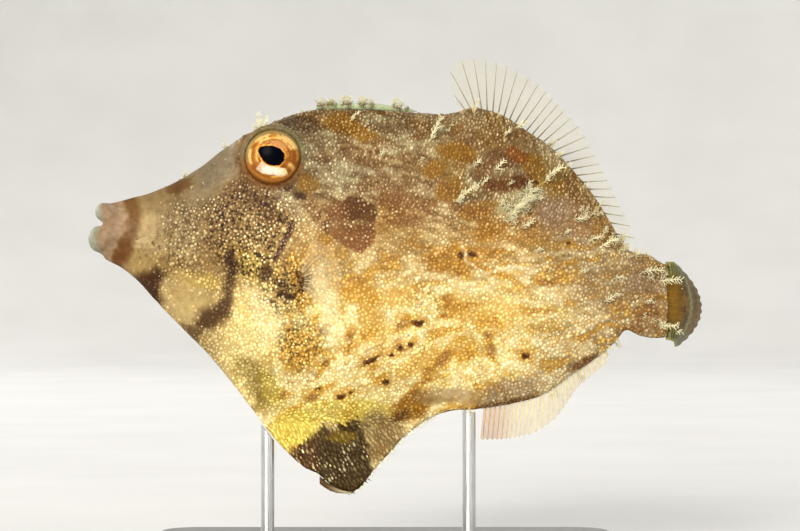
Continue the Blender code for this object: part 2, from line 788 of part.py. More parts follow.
def head():
    columns = [SNOUT_FACE + d for d in (0.0, 0.9, 1.8, 2.7)] + places(SNOUT_FACE + 3.9, HEAD_END, 1.5)
    piece = flesh("head", columns, 13, keel, back)
    added = [lip("upper_lip", UPPER_LIP), lip("lower_lip", LOWER_LIP)]
    added.append(ellipsoid("chin_pad", CHIN_PLACE, CHIN_RADII, None, 14, 8))
    added += [lid_ring("lid", side) for side in (-1, 1)]
    combine(piece, added, "UNION")
    cuts = [eye_ball("socket", side, GAP, 20, 12) for side in (-1, 1)]
    for side in (-1, 1):
        cuts += [nostril("nostril", x, z, side, radius) for x, z, radius in NOSTRILS]
        cuts.append(gill_slit("gill", side))
    combine(piece, cuts, "DIFFERENCE")
    combine(piece, skin_threads(HEAD_THREADS), "UNION", "MANIFOLD")
    flesh_finish(piece)


def eyes():
    for name, side in (("eye_left", -1), ("eye_right", 1)):
        eye_finish(eye_ball(name, side))


def trunk():
    columns = places(HEAD_END + GAP, TRUNK_END, 1.6)
    piece = flesh("trunk", columns, 14, trunk_low, back)
    combine(piece, skin_threads(TRUNK_THREADS), "UNION", "MANIFOLD")
    flesh_finish(piece)


def ventral_flap():
    columns = places(FLAP_FRONT[0] + 0.6, FLAP_REAR[0] - 0.9, 1.3)
    piece = flesh("ventral_flap", columns, 8, keel, lambda x: flap_top(x) - GAP, round_top=False, lean=False)
    combine(piece, flap_prickles(), "UNION", "MANIFOLD")
    flap_finish(piece)


def tail_stalk():
    piece = flesh("tail_stalk", places(TRUNK_END + GAP, STALK_END, 1.0), 9, keel, back, lean=False)
    combine(piece, skin_threads(STALK_THREADS), "UNION", "MANIFOLD")
    flesh_finish(piece)


def back_and_belly_fins():
    along = (DORSAL_START, DORSAL_END)
    clear_fin_finish(edge_fin("soft_dorsal_fin", back, along, DORSAL_RAYS, dorsal_length, dorsal_lean, 1))
    along = (ANAL_START, ANAL_END)
    clear_fin_finish(edge_fin("anal_fin", keel, along, ANAL_RAYS, anal_length, anal_lean, -1))


def pectoral_fins():
    for name, side in (("pectoral_fin_left", -1), ("pectoral_fin_right", 1)):
        clear_fin_finish(pectoral_fin(name, side))


def folded_spine():
    spine_finish(combine(dorsal_spine("dorsal_spine"), spine_threads(), "UNION", "MANIFOLD"))


def stand():
    base_finish(stand_base("stand_base"))
    for name, x in ROD_PLACES.items():
        rod_finish(stand_rod(name, x))


def main():
    clear_scene()
    random.seed(SEED)
    head()
    eyes()
    trunk()
    ventral_flap()
    tail_stalk()
    back_and_belly_fins()
    tail_fin_finish(tail_fin("caudal_fin"))
    pectoral_fins()
    folded_spine()
    scale_finish(pelvic_rudiment("pelvic_rudiment"))
    stand()


main()
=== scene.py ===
from itertools import product
from math import atan2, cos, pi, radians, sin

import bmesh
import bpy
import numpy as np
from mathutils import Matrix, Vector


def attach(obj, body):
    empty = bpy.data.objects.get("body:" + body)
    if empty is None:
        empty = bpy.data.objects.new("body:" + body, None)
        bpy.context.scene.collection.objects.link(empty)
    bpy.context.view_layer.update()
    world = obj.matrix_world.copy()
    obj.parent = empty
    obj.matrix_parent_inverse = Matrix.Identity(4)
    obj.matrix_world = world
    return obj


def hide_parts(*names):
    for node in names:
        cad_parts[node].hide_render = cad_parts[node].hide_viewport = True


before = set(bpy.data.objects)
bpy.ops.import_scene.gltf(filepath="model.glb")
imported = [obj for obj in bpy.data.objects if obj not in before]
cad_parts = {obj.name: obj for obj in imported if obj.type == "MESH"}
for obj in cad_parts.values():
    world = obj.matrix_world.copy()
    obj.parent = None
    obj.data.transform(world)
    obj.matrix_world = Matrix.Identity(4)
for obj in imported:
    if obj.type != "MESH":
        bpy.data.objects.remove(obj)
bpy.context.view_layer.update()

# Sizes are millimetres unless a name says otherwise; meshes are made in metres.
MM = 0.001
BODY = "root"

# The side outline of the fish, as places along it and heights above the floor.
BACK_LINE = (
    (-42.2, 55.2), (-38.1, 56.2), (-34.9, 57.1), (-31.5, 58.6), (-27.8, 60.8), (-24.6, 63.3), (-21.4, 65.3),
    (-18.3, 66.8), (-14.2, 68.5), (-10.6, 69.4), (-1.5, 69.3), (5.8, 68.9), (9.3, 68.8), (13.5, 69.7),
    (17.8, 68.5), (21.9, 65.9), (25.0, 63.8), (27.8, 60.9), (31.4, 56.5), (34.1, 52.3), (35.6, 49.4),
    (37.3, 48.1), (39.9, 47.6), (41.7, 46.5), (43.0, 46.1),
)
KEEL_LINE = (
    (-42.2, 46.9), (-39.2, 45.3), (-36.7, 43.2), (-34.0, 40.1), (-30.5, 36.6), (-26.4, 32.4), (-22.0, 27.1),
    (-19.4, 23.6), (-16.7, 20.1), (-12.5, 15.9), (-10.0, 14.6), (-7.9, 12.9), (-5.6, 12.0), (-4.3, 12.2),
    (-3.2, 13.2), (-1.6, 15.3), (0.5, 17.6), (3.2, 20.5), (6.4, 22.8), (9.4, 24.0), (14.5, 24.4),
    (21.7, 25.8), (24.6, 27.0), (28.2, 29.6), (31.6, 31.9), (34.8, 34.5), (36.2, 36.2), (38.3, 35.3),
    (41.1, 34.9), (43.0, 35.2),
)
BELLY_LINE = (
    (-42.2, 46.2), (-36.7, 42.4), (-30.5, 35.4), (-24.0, 28.4), (-18.0, 24.3), (-9.0, 21.6), (0.0, 21.4),
    (9.4, 23.0), (21.7, 25.0), (31.6, 31.0), (36.2, 34.4), (43.0, 34.3),
)
WIDEST_LINE = ((-42.2, 51.0), (-30.0, 50.0), (-12.0, 48.0), (12.0, 47.0), (30.0, 44.0), (43.0, 40.8))
HALF_WIDTH = (
    (-42.2, 2.3), (-38.0, 3.0), (-32.0, 3.7), (-25.0, 4.9), (-18.0, 6.2), (-10.0, 6.9), (0.0, 7.0),
    (10.0, 6.4), (20.0, 5.1), (29.0, 3.7), (36.0, 2.5), (43.0, 1.6),
)
SHEET_HALF = 0.62
GROOVE_HALF = 0.55
PELVIC_RIDGE_HALF = 0.75
PELVIC_RIDGE_REACH = 2.0
EDGE_ROUND = 0.9
SNOUT_FACE = -42.2
STALK_END = 42.6
TAIL_TURN_START = 22.0
TAIL_TURN = 0.0075
GAP = 0.3

EYE_PLACE = (-16.6, 62.0)
EYE_RADIUS = 4.15
EYE_DEPTH = 2.7
EYE_OUT = 4.05
LID_RADIUS = 4.55
LID_THICK = 0.55
ORBIT_RADIUS = 7.0
ORBIT_HALF = 4.6

LIP_CENTRE = -40.7
LIP_SIDE = 2.15
UPPER_LIP = {"front": 2.1, "height": 54.0, "drop": -0.75, "tall": 1.55, "thick": 0.85}
LOWER_LIP = {"front": 3.0, "height": 49.95, "drop": 0.45, "tall": 2.1, "thick": 0.95}
LIP_BACKING = 0.7
CHIN_PLACE = (-41.8, 0.0, 49.3)
CHIN_RADII = (1.9, 2.2, 1.9)

# The skin lies this far inside the solids, and the granules stand on it; it is dimmer between them.
COAT_DEPTH = 0.12
GROUND_DIM = 0.10
SKIN_VOXEL = 0.235
LIP_EASING = 16


def paint(text):
    """A colour as the eye sees its steps, from a hex one."""
    return np.array([int(text[k:k + 2], 16) / 255.0 for k in (1, 3, 5)])


def linear(values):
    values = np.clip(values, 0.0, 1.0)
    return np.where(values <= 0.04045, values / 12.92, ((values + 0.055) / 1.055) ** 2.4)


def colour(text):
    """A linear colour from a hex one."""
    return linear(paint(text))


def smooth(value):
    value = np.clip(value, 0.0, 1.0)
    return value * value * (3.0 - 2.0 * value)


def fade(value, start, width):
    """0 up to the start and 1 a width beyond it; a negative width fades in below the start."""
    return smooth((value - start) / width)


def bell(value, width):
    return np.exp(-(value / width) ** 2)


def blend_to(base, tint, amount):
    """Colours moved towards a tint, each by its own share."""
    return base + (tint - base) * amount[..., None]


def unit(vectors):
    return vectors / np.linalg.norm(vectors, axis=-1, keepdims=True)


def curve(points, place):
    """A smooth curve through the points, read at many places."""
    xs, zs = np.array(points).T
    place = np.asarray(place, float)
    slopes = np.empty(len(xs))
    slopes[1:-1] = (zs[2:] - zs[:-2]) / (xs[2:] - xs[:-2])
    slopes[0] = (zs[1] - zs[0]) / (xs[1] - xs[0])
    slopes[-1] = (zs[-1] - zs[-2]) / (xs[-1] - xs[-2])
    low = np.clip(np.searchsorted(xs, place, "right") - 1, 0, len(xs) - 2)
    step = xs[low + 1] - xs[low]
    t = np.clip((place - xs[low]) / step, 0.0, 1.0)
    bend = step * (slopes[low] * t * (1 - t) ** 2 - slopes[low + 1] * t * t * (1 - t))
    return zs[low] + (zs[low + 1] - zs[low]) * smooth(t) + bend


def back(x):
    return curve(BACK_LINE, x)


def keel(x):
    return curve(KEEL_LINE, x)


def edge_distance(x, z):
    """Distance in height from the nearer of back and keel."""
    return np.minimum(back(x) - z, z - keel(x))


def eye_distance(x, z):
    return np.hypot(x - EYE_PLACE[0], z - EYE_PLACE[1])


def middle(x):
    """How far the fish's middle plane has turned away at a place along it."""
    return TAIL_TURN * np.maximum(0.0, np.asarray(x, float) - TAIL_TURN_START) ** 2


def sheet_half(x, z):
    """Half the thickness of the thin edges, with the spine's groove and the pelvic bone."""
    groove = GROOVE_HALF * fade(x, -14, 3) * fade(x, 8, -3) * fade(z, 60, 6)
    front = fade(x, -3.5, -3) * fade(x, -30, 6)
    return SHEET_HALF + groove + PELVIC_RIDGE_HALF * front * bell((z - keel(x)) * 0.65, PELVIC_RIDGE_REACH)


def half_width(x, z):
    """Half the fish's thickness at points of the side view."""
    x, z = np.asarray(x, float), np.asarray(z, float)
    top, widest, belly = back(x), curve(WIDEST_LINE, x), curve(BELLY_LINE, x)
    girth = curve(HALF_WIDTH, x)
    above = np.clip((z - widest) / (top - widest), 0.0, 1.0)
    below = np.clip((widest - z) / (widest - belly), 0.0, 1.0)
    flesh = girth * np.where(z >= widest, (1.0 - above ** 1.9) ** 0.62, (1.0 - below ** 2.1) ** 0.8)
    width = (flesh ** 3 + sheet_half(x, z) ** 3) ** (1.0 / 3.0)
    reach = eye_distance(x, z) / ORBIT_RADIUS
    orbit = ORBIT_HALF * np.maximum(0.0, 1.0 - reach * reach) ** 0.45
    width = (width ** 5 + orbit ** 5) ** 0.2
    inner = 1.0 - np.clip(edge_distance(x, z), 0.0, EDGE_ROUND) / EDGE_ROUND
    return width * (0.55 + 0.45 * np.sqrt(1.0 - inner * inner))


def lattice_noise(points, size, seed):
    """Smooth noise from -1 to 1 at points, with features of the given size."""
    place = np.asarray(points, float) / size + 71.3 + seed * 13.7
    cell = np.floor(place).astype(np.int64)
    part = smooth(place - cell)
    total = np.zeros(len(place))
    for corner in product((0, 1), repeat=3):
        pick = np.array(corner[::-1])
        x, y, z = (cell + pick).T
        mixed = x * 73856093 ^ y * 19349663 ^ z * 83492791 ^ (seed * 2654435761)
        mixed = (mixed ^ (mixed >> 13)) * 1274126177 & 0xFFFFFFFF
        mixed = (mixed ^ (mixed >> 16)) & 0xFFFF
        weight = np.prod(np.where(pick == 1, part, 1.0 - part), axis=1)
        total += weight * (mixed / 32767.5 - 1.0)
    return total


def cloud(points, size, seed, octaves=3):
    total = np.zeros(len(points))
    for k in range(octaves):
        total += lattice_noise(points, size / 2 ** k, seed + k) * 0.5 ** k
    return total / 1.5


def ellipse(x, z, oval, soft=0.25):
    """1 inside an oval, which is its centre, radii and tilt in degrees, fading to 0 over its soft edge."""
    centre_x, centre_z, long, tall, tilt = oval
    turn = radians(tilt)
    dx, dz = x - centre_x, z - centre_z
    across = (dx * cos(turn) + dz * sin(turn)) / long
    up = (-dx * sin(turn) + dz * cos(turn)) / tall
    return smooth((1.0 + soft - np.hypot(across, up)) / (2.0 * soft))


def line_distance(x, z, points):
    """Distance in the side view from a line of points."""
    best = np.full(np.shape(x), 1e9)
    for (x0, z0), (x1, z1) in zip(points[:-1], points[1:]):
        dx, dz = x1 - x0, z1 - z0
        t = np.clip(((x - x0) * dx + (z - z0) * dz) / (dx * dx + dz * dz), 0.0, 1.0)
        best = np.minimum(best, np.hypot(x - x0 - t * dx, z - z0 - t * dz))
    return best


def band(x, z, points, half, soft=0.6):
    return smooth((half + soft - line_distance(x, z, points)) / (2.0 * soft))


def inside(x, z, outline, soft=0.4):
    """1 inside a closed outline of the side view, fading to 0 over its soft edge."""
    closed = outline + outline[:1]
    gone = line_distance(x, z, closed)
    crossed = np.zeros(np.shape(x), bool)
    for (x0, z0), (x1, z1) in zip(closed[:-1], closed[1:]):
        if z0 != z1:
            spans = (z0 > z) != (z1 > z)
            crossed ^= spans & (x < (x1 - x0) * (z - z0) / (z1 - z0) + x0)
    return smooth((np.where(crossed, gone, -gone) + soft) / (2.0 * soft))


# Colours of the skin, mixed as the eye sees them and made linear at the end.
TOP_BROWN = paint("#7a6342")
TAN = paint("#a68a56")
MAUVE = paint("#96805f")
CREAM = paint("#ecda98")
LIGHT_CREAM = paint("#fceebe")
YELLOW = paint("#d2b950")
BRIGHT_YELLOW = paint("#dac854")
ORANGE = paint("#d0a142")
GOLD = paint("#92621a")
RUST = paint("#7f562c")
OLIVE = paint("#6a581c")
BROWN = paint("#5c3c1c")
RED_BROWN = paint("#623816")
DARK = paint("#2e1606")
PALE = paint("#faf0d0")
PINK = paint("#8c7560")
# The lips' grey, darker than their own colour as painted shade, since the lips lie in shadow.
SHADED_LIP_GREY = paint("#929a8c")
GREY_GREEN = paint("#847762")
GILL_PURPLE = paint("#6a4c48")
SPECK = paint("#1e0e04")
SAND = paint("#b09468")
FLAP_TAN = paint("#86724a")

# Outlines of the markings, all read off in the side view.
GILL_LINE = ((-13.7, 52.3), (-14.3, 50.4), (-15.1, 49.0), (-15.8, 47.6), (-16.2, 46.9))
MOUTH_LINE = ((-42.6, 52.2), (-40.4, 52.1), (-39.2, 51.8))
PECTORAL_BASE = (-13.1, 43.8)
NOSTRILS = ((-23.2, 61.0, 0.34), (-22.0, 61.6, 0.42))
LIP_BAND = ((-38.0, 55.9), (-37.4, 53.4), (-37.7, 51.1), (-38.8, 48.9), (-39.8, 46.4))
HEART = (
    (-11.6, 54.2), (-9.8, 54.1), (-8.4, 54.2), (-7.3, 55.2), (-5.4, 56.4), (-3.6, 56.2), (-1.8, 55.0),
    (-1.0, 53.5), (-1.5, 52.1), (-1.2, 50.8), (-2.1, 48.9), (-3.6, 47.8), (-5.2, 48.3), (-7.5, 49.8),
    (-10.2, 52.3),
)
# Clusters of pale granules on the heart: place and reach.
HEART_STARS = (
    (-5.9, 54.0, 0.8), (-3.3, 54.1, 0.5), (-2.4, 51.6, 0.8), (-5.2, 50.3, 0.6), (-2.8, 50.1, 0.5),
    (-7.1, 52.1, 0.8), (-8.8, 51.8, 0.7), (-4.8, 52.0, 0.5),
)
SQUIGGLE = ((11.4, 48.9), (12.2, 46.6), (14.9, 44.7), (17.2, 45.5), (19.0, 45.9), (23.7, 45.3))
CHIN_WEDGE = (
    (-36.8, 44.6), (-34.0, 45.6), (-32.6, 44.8), (-33.8, 42.6), (-33.6, 40.0), (-34.6, 38.8), (-38.6, 43.0),
)
CHIN_PATCH = (
    (-28.6, 37.0), (-27.8, 38.8), (-25.8, 40.2), (-24.2, 41.0), (-24.0, 43.0), (-23.4, 46.0), (-22.2, 47.6),
    (-21.6, 45.6), (-22.4, 43.0), (-22.6, 40.6), (-23.2, 38.6), (-24.8, 37.2), (-27.2, 36.0),
)
CHEEK = (
    (-22.6, 58.2), (-14.6, 56.4), (-12.6, 52.4), (-16.6, 46.0), (-19.6, 43.0), (-23.4, 44.2), (-27.6, 49.4),
    (-27.0, 54.6),
)
FLAP_DARK = (
    (-13.9, 17.6), (-11.9, 19.2), (-9.8, 21.0), (-9.4, 22.4), (-7.9, 21.7), (-6.0, 22.4), (-4.1, 22.9),
    (-3.1, 21.3), (-3.0, 19.5), (-2.2, 17.5), (-1.7, 15.0), (-2.9, 11.0), (-7.0, 10.5), (-14.0, 14.0),
)

# Patches of the upper back and of the flank and belly: oval, tint, strength.
BACK_PATCHES = (
    ((15, 65, 10, 4, -14), RUST, 0.35), ((10.5, 62.9, 3.2, 1.5, 5), GOLD, 0.90),
    ((7.2, 60.4, 1.9, 1.2, 0), GOLD, 0.85), ((9.6, 57.5, 2.6, 1.5, 0), GOLD, 0.80),
    ((18.4, 58, 4.2, 0.9, -4), RED_BROWN, 0.80), ((20.6, 58.5, 2.2, 1, 5), RED_BROWN, 0.90),
    ((22.2, 61, 1.4, 1.8, 50), GOLD, 0.85), ((17.4, 62, 2.8, 1.2, -20), RED_BROWN, 0.40),
    ((-6.6, 67.2, 2.6, 1.5, -18), GOLD, 0.75), ((-3.6, 65.9, 2.4, 1, -16), GOLD, 0.80),
    ((-12.6, 66.8, 3.2, 1.2, -10), DARK, 0.50), ((1.5, 66.8, 2.6, 1.2, 0), BROWN, 0.45),
    ((1.8, 55.4, 2.6, 1.3, -8), RUST, 0.65), ((3.4, 52.6, 3, 1, 6), RUST, 0.55),
    ((13.5, 54.6, 3, 1.4, 10), GOLD, 0.60), ((15.4, 51.8, 2.2, 1.6, 0), GOLD, 0.60),
    ((28, 56.6, 1.2, 3, 36), RUST, 0.60), ((25.4, 57.2, 1.5, 2.4, 40), GOLD, 0.60),
    ((19.6, 55.2, 4, 1.6, 34), paint("#b2a67e"), 0.75), ((24.6, 53, 2, 1.2, 0), GILL_PURPLE, 0.35),
    ((-11, 58.6, 1.6, 1.4, -40), GOLD, 0.75), ((-9, 56.6, 1.3, 0.8, 0), BROWN, 0.50),
    ((25.2, 62.6, 2.6, 1.4, -45), paint("#b09a70"), 0.70),
    ((19.9, 62.5, 1.8, 1, -35), paint("#8c4c18"), 0.80),
    ((27, 53, 4.6, 3, -20), paint("#ae9478"), 0.55), ((12.6, 67.8, 2.4, 1, -10), MAUVE, 0.60),
)
FLANK_PATCHES = (
    ((-3.6, 41.8, 2.6, 2, -20), ORANGE, 0.85), ((1.4, 41.2, 4.2, 1.6, 0), ORANGE, 0.55),
    ((-1.6, 37, 2, 3.2, 15), ORANGE, 0.70), ((14.5, 39.4, 6.4, 2.6, -5), ORANGE, 0.50),
    ((-12.2, 33.6, 2.8, 2.8, -30), ORANGE, 0.70), ((9.4, 46.4, 4.4, 1.6, 0), GOLD, 0.50),
    ((14.2, 47.8, 3.6, 1.2, 0), GOLD, 0.50), ((5, 31.6, 3.6, 1.6, 30), ORANGE, 0.60),
    ((11, 33.8, 2.4, 1.2, 20), ORANGE, 0.60), ((24.8, 38, 3.8, 1.6, 25), CREAM, 0.40),
    ((3.8, 24.6, 3.2, 1.9, 30), GOLD, 0.85), ((2.4, 23.2, 1.4, 0.8, 20), BROWN, 0.80),
    ((-13.2, 20.6, 3.4, 4, 40), BRIGHT_YELLOW, 0.85), ((-6, 24, 7, 2, 0), BRIGHT_YELLOW, 0.65),
    ((-1.4, 20.2, 3, 3.6, -20), FLAP_TAN, 0.85), ((0.8, 19.8, 2.8, 2.4, 40), paint("#846c40"), 0.75),
    ((-12.8, 17.2, 1.6, 1.1, -40), RUST, 0.75), ((-8, 38.2, 1.8, 5.4, 8), LIGHT_CREAM, 0.65),
    ((-27, 41, 3.4, 2.2, -45), CREAM, 0.40), ((10, 26.4, 5, 1.5, 4), MAUVE, 0.65),
    ((18.4, 27.4, 4.6, 1.8, 18), PINK, 0.60), ((40, 38.2, 3, 2.4, 0), RUST, 0.55),
    ((35, 43.6, 7, 3.4, 10), MAUVE, 0.60), ((39.4, 43.2, 3.4, 2.4, 0), paint("#846850"), 0.50),
    ((36.6, 36.4, 2, 1, 0), RUST, 0.70),
)
CHEEK_SPOTS = (
    (-17.6, 45, 1, 1.5, -20), (-12, 43.4, 0.8, 1.3, -20), (-12.6, 56.2, 0.9, 0.6, -20),
    (-14.4, 57.6, 0.9, 0.6, -20), (-15.4, 43.4, 1, 0.6, -20), (-14.6, 41.6, 1.6, 0.7, -20),
    (-23, 47.4, 0.6, 1.4, -20),
)
SMALL_SPOTS = (
    (11.3, 47.4, 0.75, 0.6, 50), (12.9, 47.7, 0.9, 0.35, -15), (4.8, 37.4, 0.95, 0.45, -10),
    (3.9, 34.3, 0.45, 0.35, 0), (1.9, 33.7, 0.5, 0.6, -40), (0.9, 32.6, 0.4, 0.3, 0),
    (-9.8, 27.5, 0.3, 0.25, 0), (-6.6, 26.4, 0.6, 0.45, 0), (-5.2, 26.9, 0.35, 0.3, 0),
    (0.2, 28.6, 0.55, 0.4, 0), (20.9, 32.5, 0.5, 0.4, 0), (-14.3, 36.5, 0.3, 0.3, 0),
    (-2, 31.8, 1.6, 0.35, 32), (22.6, 58.4, 0.35, 0.3, 0), (27.2, 49.4, 0.35, 0.3, 0),
)
FAR_SHIFT = 40.0


def flank_places(points):
    """Places for noise that is the same through the body's thickness, but not on both flanks."""
    x, y, z = points.T
    return np.stack([x, np.where(y < middle(x), 0.0, FAR_SHIFT), z], axis=1)


def streak_field(places, long, wide, seed):
    """Noise drawn out along the run of the body's markings, from -1 to 1."""
    x, swirl, z = places
    lower = fade(z, 54, -20) * (1.0 - 0.5 * fade(x, 8, 14))
    turn = np.radians(-14.0 + 48.0 * lower)
    along = x * np.cos(turn) + (z - 46.0) * np.sin(turn)
    across = -x * np.sin(turn) + (z - 46.0) * np.cos(turn)
    return cloud(np.stack([along / long, swirl, across / wide], axis=1), 1.0, seed)


class Markings:
    """Skin points, the places at which their markings are read, and the colour laid on so far.

    The places w wander far and give the patches loose edges; the places n wander little.
    """

    def __init__(self, points):
        self.flat = flank_places(points)
        self.x, swirl, self.z = self.flat.T
        wide_x, wide_z, small_x, small_z = (
            cloud(self.flat, size, seed) for size, seed in ((5.0, 3), (5.0, 4), (0.9, 5), (0.9, 6)))
        self.small_x, self.small_z = small_x, small_z
        self.w = self.x + 0.9 * wide_x + 0.55 * small_x, self.z + 0.9 * wide_z + 0.55 * small_z
        self.n = self.x + 0.25 * wide_x + 0.42 * small_x, self.z + 0.25 * wide_z + 0.42 * small_z
        self.streak = streak_field((self.w[0], swirl, self.w[1]), 3.4, 1.5, 8)
        self.fleck = streak_field((self.x, swirl, self.z), 1.1, 0.6, 9)
        self.upper = fade(self.z, 44, 12)
        self.skin = CREAM

    def lay(self, tint, amount):
        self.skin = blend_to(self.skin, tint, amount)

    def spot(self, tint, amount, oval, soft=0.4):
        self.lay(tint, amount * ellipse(*self.w, oval, soft))

    def fine_spot(self, tint, amount, oval, soft=0.4):
        self.lay(tint, amount * ellipse(*self.n, oval, soft))

    def lay_ground(self):
        """Cream below, then tan, mauve and brown towards the back; brown, orange and cream streaks."""
        (wx, wz), upper = self.w, self.upper
        lower, body = 1 - upper, fade(self.x, -15, 4)
        low_body = lower * fade(self.x, -20, 6)
        self.lay(TAN, fade(wz, 38, 10))
        self.lay(MAUVE, 0.8 * fade(wz, 50, 9))
        self.lay(TOP_BROWN, 0.75 * fade(wz, 59, 8) * fade(wx, -17, 5))
        self.spot(SAND, 0.5, (-0.5, 63, 7, 2.6, -8), 0.5)
        self.lay(MAUVE, 0.85 * fade(wx, 20, 12))
        self.lay(TOP_BROWN, 0.55 * fade(wx, 32, 8))
        self.lay(PINK, 0.45 * fade(wx, 14, 12) * fade(wz, 36, -8))
        self.lay(RUST, 0.62 * upper * body * fade(self.streak, 0.02, 0.22))
        self.lay(ORANGE, 0.85 * low_body * fade(self.streak, 0.10, 0.20))
        self.lay(RUST, 0.60 * low_body * fade(self.streak, 0.38, 0.14))
        self.lay(LIGHT_CREAM, 0.60 * fade(self.streak, -0.02, -0.2) * (0.25 + 0.75 * lower))
        dark_fleck = fade(self.fleck, 0.10, 0.2)
        self.lay(BROWN, 0.42 * dark_fleck * upper * body)
        self.lay(ORANGE, 0.42 * dark_fleck * low_body)
        self.lay(LIGHT_CREAM, 0.30 * fade(self.fleck, -0.12, -0.2) * (0.3 + 0.7 * body))
        self.lay(GOLD, 0.45 * upper * body * fade(cloud(self.flat, 6.0, 14), 0.15, 0.2))

    def lay_head(self):
        """Tan snout, grey forehead, saddle, painted shade over the head, dark cheek, the band behind the lips
        and the chin patches.
        """
        (wx, wz), (nx, nz) = self.w, self.n
        head = fade(self.x, -21, -6)
        self.lay(TAN, 0.60 * head * fade(wz, 50, -5))
        self.lay(paint("#a08a60"), 0.60 * head * fade(wz, 46, 6))
        self.spot(GREY_GREEN, 0.75, (-24.4, 60.4, 5.6, 2.6, 40), 0.5)
        self.spot(paint("#927a50"), 0.75, (-33, 56.2, 5, 1.8, 22), 0.5)
        # Painted shade: the head is darkened a little all over, and more towards its top, where the light
        # falls off.
        self.skin = self.skin * (1.0 - 0.09 * head - 0.09 * head * fade(wz, 52, 5))[:, None]
        self.fine_spot(BROWN, 0.80, (-30.6, 58, 2, 1, 25))
        self.lay(BROWN, 0.65 * band(nx, nz, ((-20.6, 66.6), (-21.4, 62.4), (-20.6, 57.8)), 0.8, 0.8))
        self.lay(paint("#937442"), 0.50 * inside(nx, nz, CHEEK, 1.8))
        self.spot(YELLOW, 0.50, (-19.8, 46, 4, 2.6, -40), 0.5)
        self.spot(PALE, 0.35, (-13.8, 55.4, 1.2, 2.6, 35))
        self.lay(BROWN, 0.60 * band(nx, nz, ((-22.0, 57.6), (-18.0, 55.6), (-16.8, 53.0)), 1.0, 1.0))
        self.lay(DARK, 0.74 * inside(nx + 0.5 * self.small_z, nz - 0.5 * self.small_x, CHIN_PATCH, 0.9))
        self.lay(DARK, 0.84 * inside(nx, nz, CHIN_WEDGE, 0.8))
        self.spot(DARK, 0.50, (-29.2, 35.8, 1.5, 0.9, -45))
        self.spot(YELLOW, 0.30, (-27.6, 44, 3.4, 1.2, -15), 0.5)
        # The lips' pink here and their grey below are darker than their own colours: partly painted shade, as
        # the lips lie in shadow.
        self.lay(PINK, 0.80 * fade(wx, -37.6, -1.8))
        self.lay(BROWN, 0.82 * band(nx, nz, LIP_BAND, 0.75 + 0.35 * smooth(0.5 + self.small_x), 0.7))
        self.fine_spot(RED_BROWN, 0.60, (-39, 47.8, 1.3, 2, -35))
        lip_front = np.where(self.z > 52.2, -42.4 + 0.16 * (55.0 - self.z),
                             -43.0 + 0.22 * np.abs(self.z - 50.4))
        self.lay(SHADED_LIP_GREY, 0.90 * smooth((lip_front - self.x) / 1.5 + 0.35))
        self.lay(RED_BROWN, 0.50 * band(self.x, self.z, MOUTH_LINE, 0.08, 0.2))
        for oval in CHEEK_SPOTS:
            self.fine_spot(DARK, 0.7, oval)

    def lay_heart(self):
        """The heart-shaped blotch, darkest in its two lobes."""
        heart = inside(*self.n, HEART, 0.16)
        lobe = fade(self.x, -7.4, 2.6) * fade(self.z, 50.4, 2.4)
        brown = blend_to(paint("#80552f"), paint("#58340f"), lobe)
        brown = blend_to(brown, paint("#8e7650"), 0.6 * ellipse(*self.w, (-5.6, 52.2, 3.4, 0.7, 0), 0.6))
        self.lay(brown, (0.45 + 0.48 * fade(self.x, -9, 3)) * heart)
        self.lay(paint("#543414"), 0.7 * heart * fade(self.x, -7, -1.5) * fade(self.small_x, 0.02, 0.2))

    def lay_flap(self):
        (wx, wz), (_, nz) = self.w, self.n
        keel_patch = ellipse(wx + 0.5 * self.small_z, wz, (-19, 28.2, 2.2, 4, 30), 0.6)
        self.lay(OLIVE, 0.80 * keel_patch * (0.8 + 0.5 * self.small_x))
        self.spot(BRIGHT_YELLOW, 0.45, (-17, 27.6, 1.6, 3, 28), 0.5)
        combed = 0.6 * np.sin(np.arctan2(self.z - 27.0, self.x + 13.0) * 70.0) + 0.9 * self.small_x
        dark = inside(wx * 0.5 + self.x * 0.5, nz + 0.8 * combed, FLAP_DARK, 0.5)
        self.lay(paint("#34240c"), 0.92 * dark)
        self.lay(paint("#5c3a1a"), 0.60 * dark * fade(self.x, -9, -2))
        self.lay(paint("#8c7420"), 0.75 * ellipse(wx, wz + 0.4 * combed, (-6.6, 20.5, 2.4, 0.8, 8), 0.5))

    def lay_fine_marks(self):
        """Small dark spots with orange rims, the white squiggle and the streaks of the belly."""
        for x, z, long, tall, tilt in SMALL_SPOTS:
            self.spot(ORANGE, 0.6, (x, z, long + 0.7, tall + 0.5, tilt))
            self.fine_spot(paint("#3c1a04"), 0.90, (x, z, long, tall, tilt))
        self.lay(PALE, 0.90 * band(*self.n, SQUIGGLE, 0.16, 0.22))
        for k in range(7):
            x, z = -5.6 + 1.3 * k, 30.2 + 0.9 * (k % 3) + 0.5 * k
            self.lay(RUST, 0.45 * band(*self.n, ((x, z), (x + 2.6, z + 1.3)), 0.12, 0.3))

    def lay_edges(self):
        """Striping of the rear margins, the brown line over the anal fin, the eye's rim and the gill."""
        x, z = self.x, self.z
        rear = fade(x, 8, 8) * fade(edge_distance(x, z), 3.6, -2.5)
        self.lay(LIGHT_CREAM, 0.25 * rear * smooth(np.sin(x * 5.2 + z * 1.2) * 0.8))
        self.lay(BROWN, 0.6 * fade(x, 13, 1.5) * fade(x, 24, -2) * fade(z - keel(x), 1.3, -0.8))
        self.spot(RED_BROWN, 0.7, (29.6, 31.4, 2.6, 0.9, 38))
        gone = eye_distance(x, z)
        self.lay(paint("#7d7450"), 0.62 * fade(gone, 5.4, -0.9) * fade(z, 60.5, 3))
        self.lay(paint("#865428"), 0.75 * fade(gone, 5.3, -0.9) * fade(z, 63, -3))
        gill = line_distance(x, z, GILL_LINE)
        self.lay(GILL_PURPLE, 0.85 * fade(gill, 0.55, -0.4))
        self.lay(LIGHT_CREAM, 0.35 * bell(gill - 0.85, 0.3))

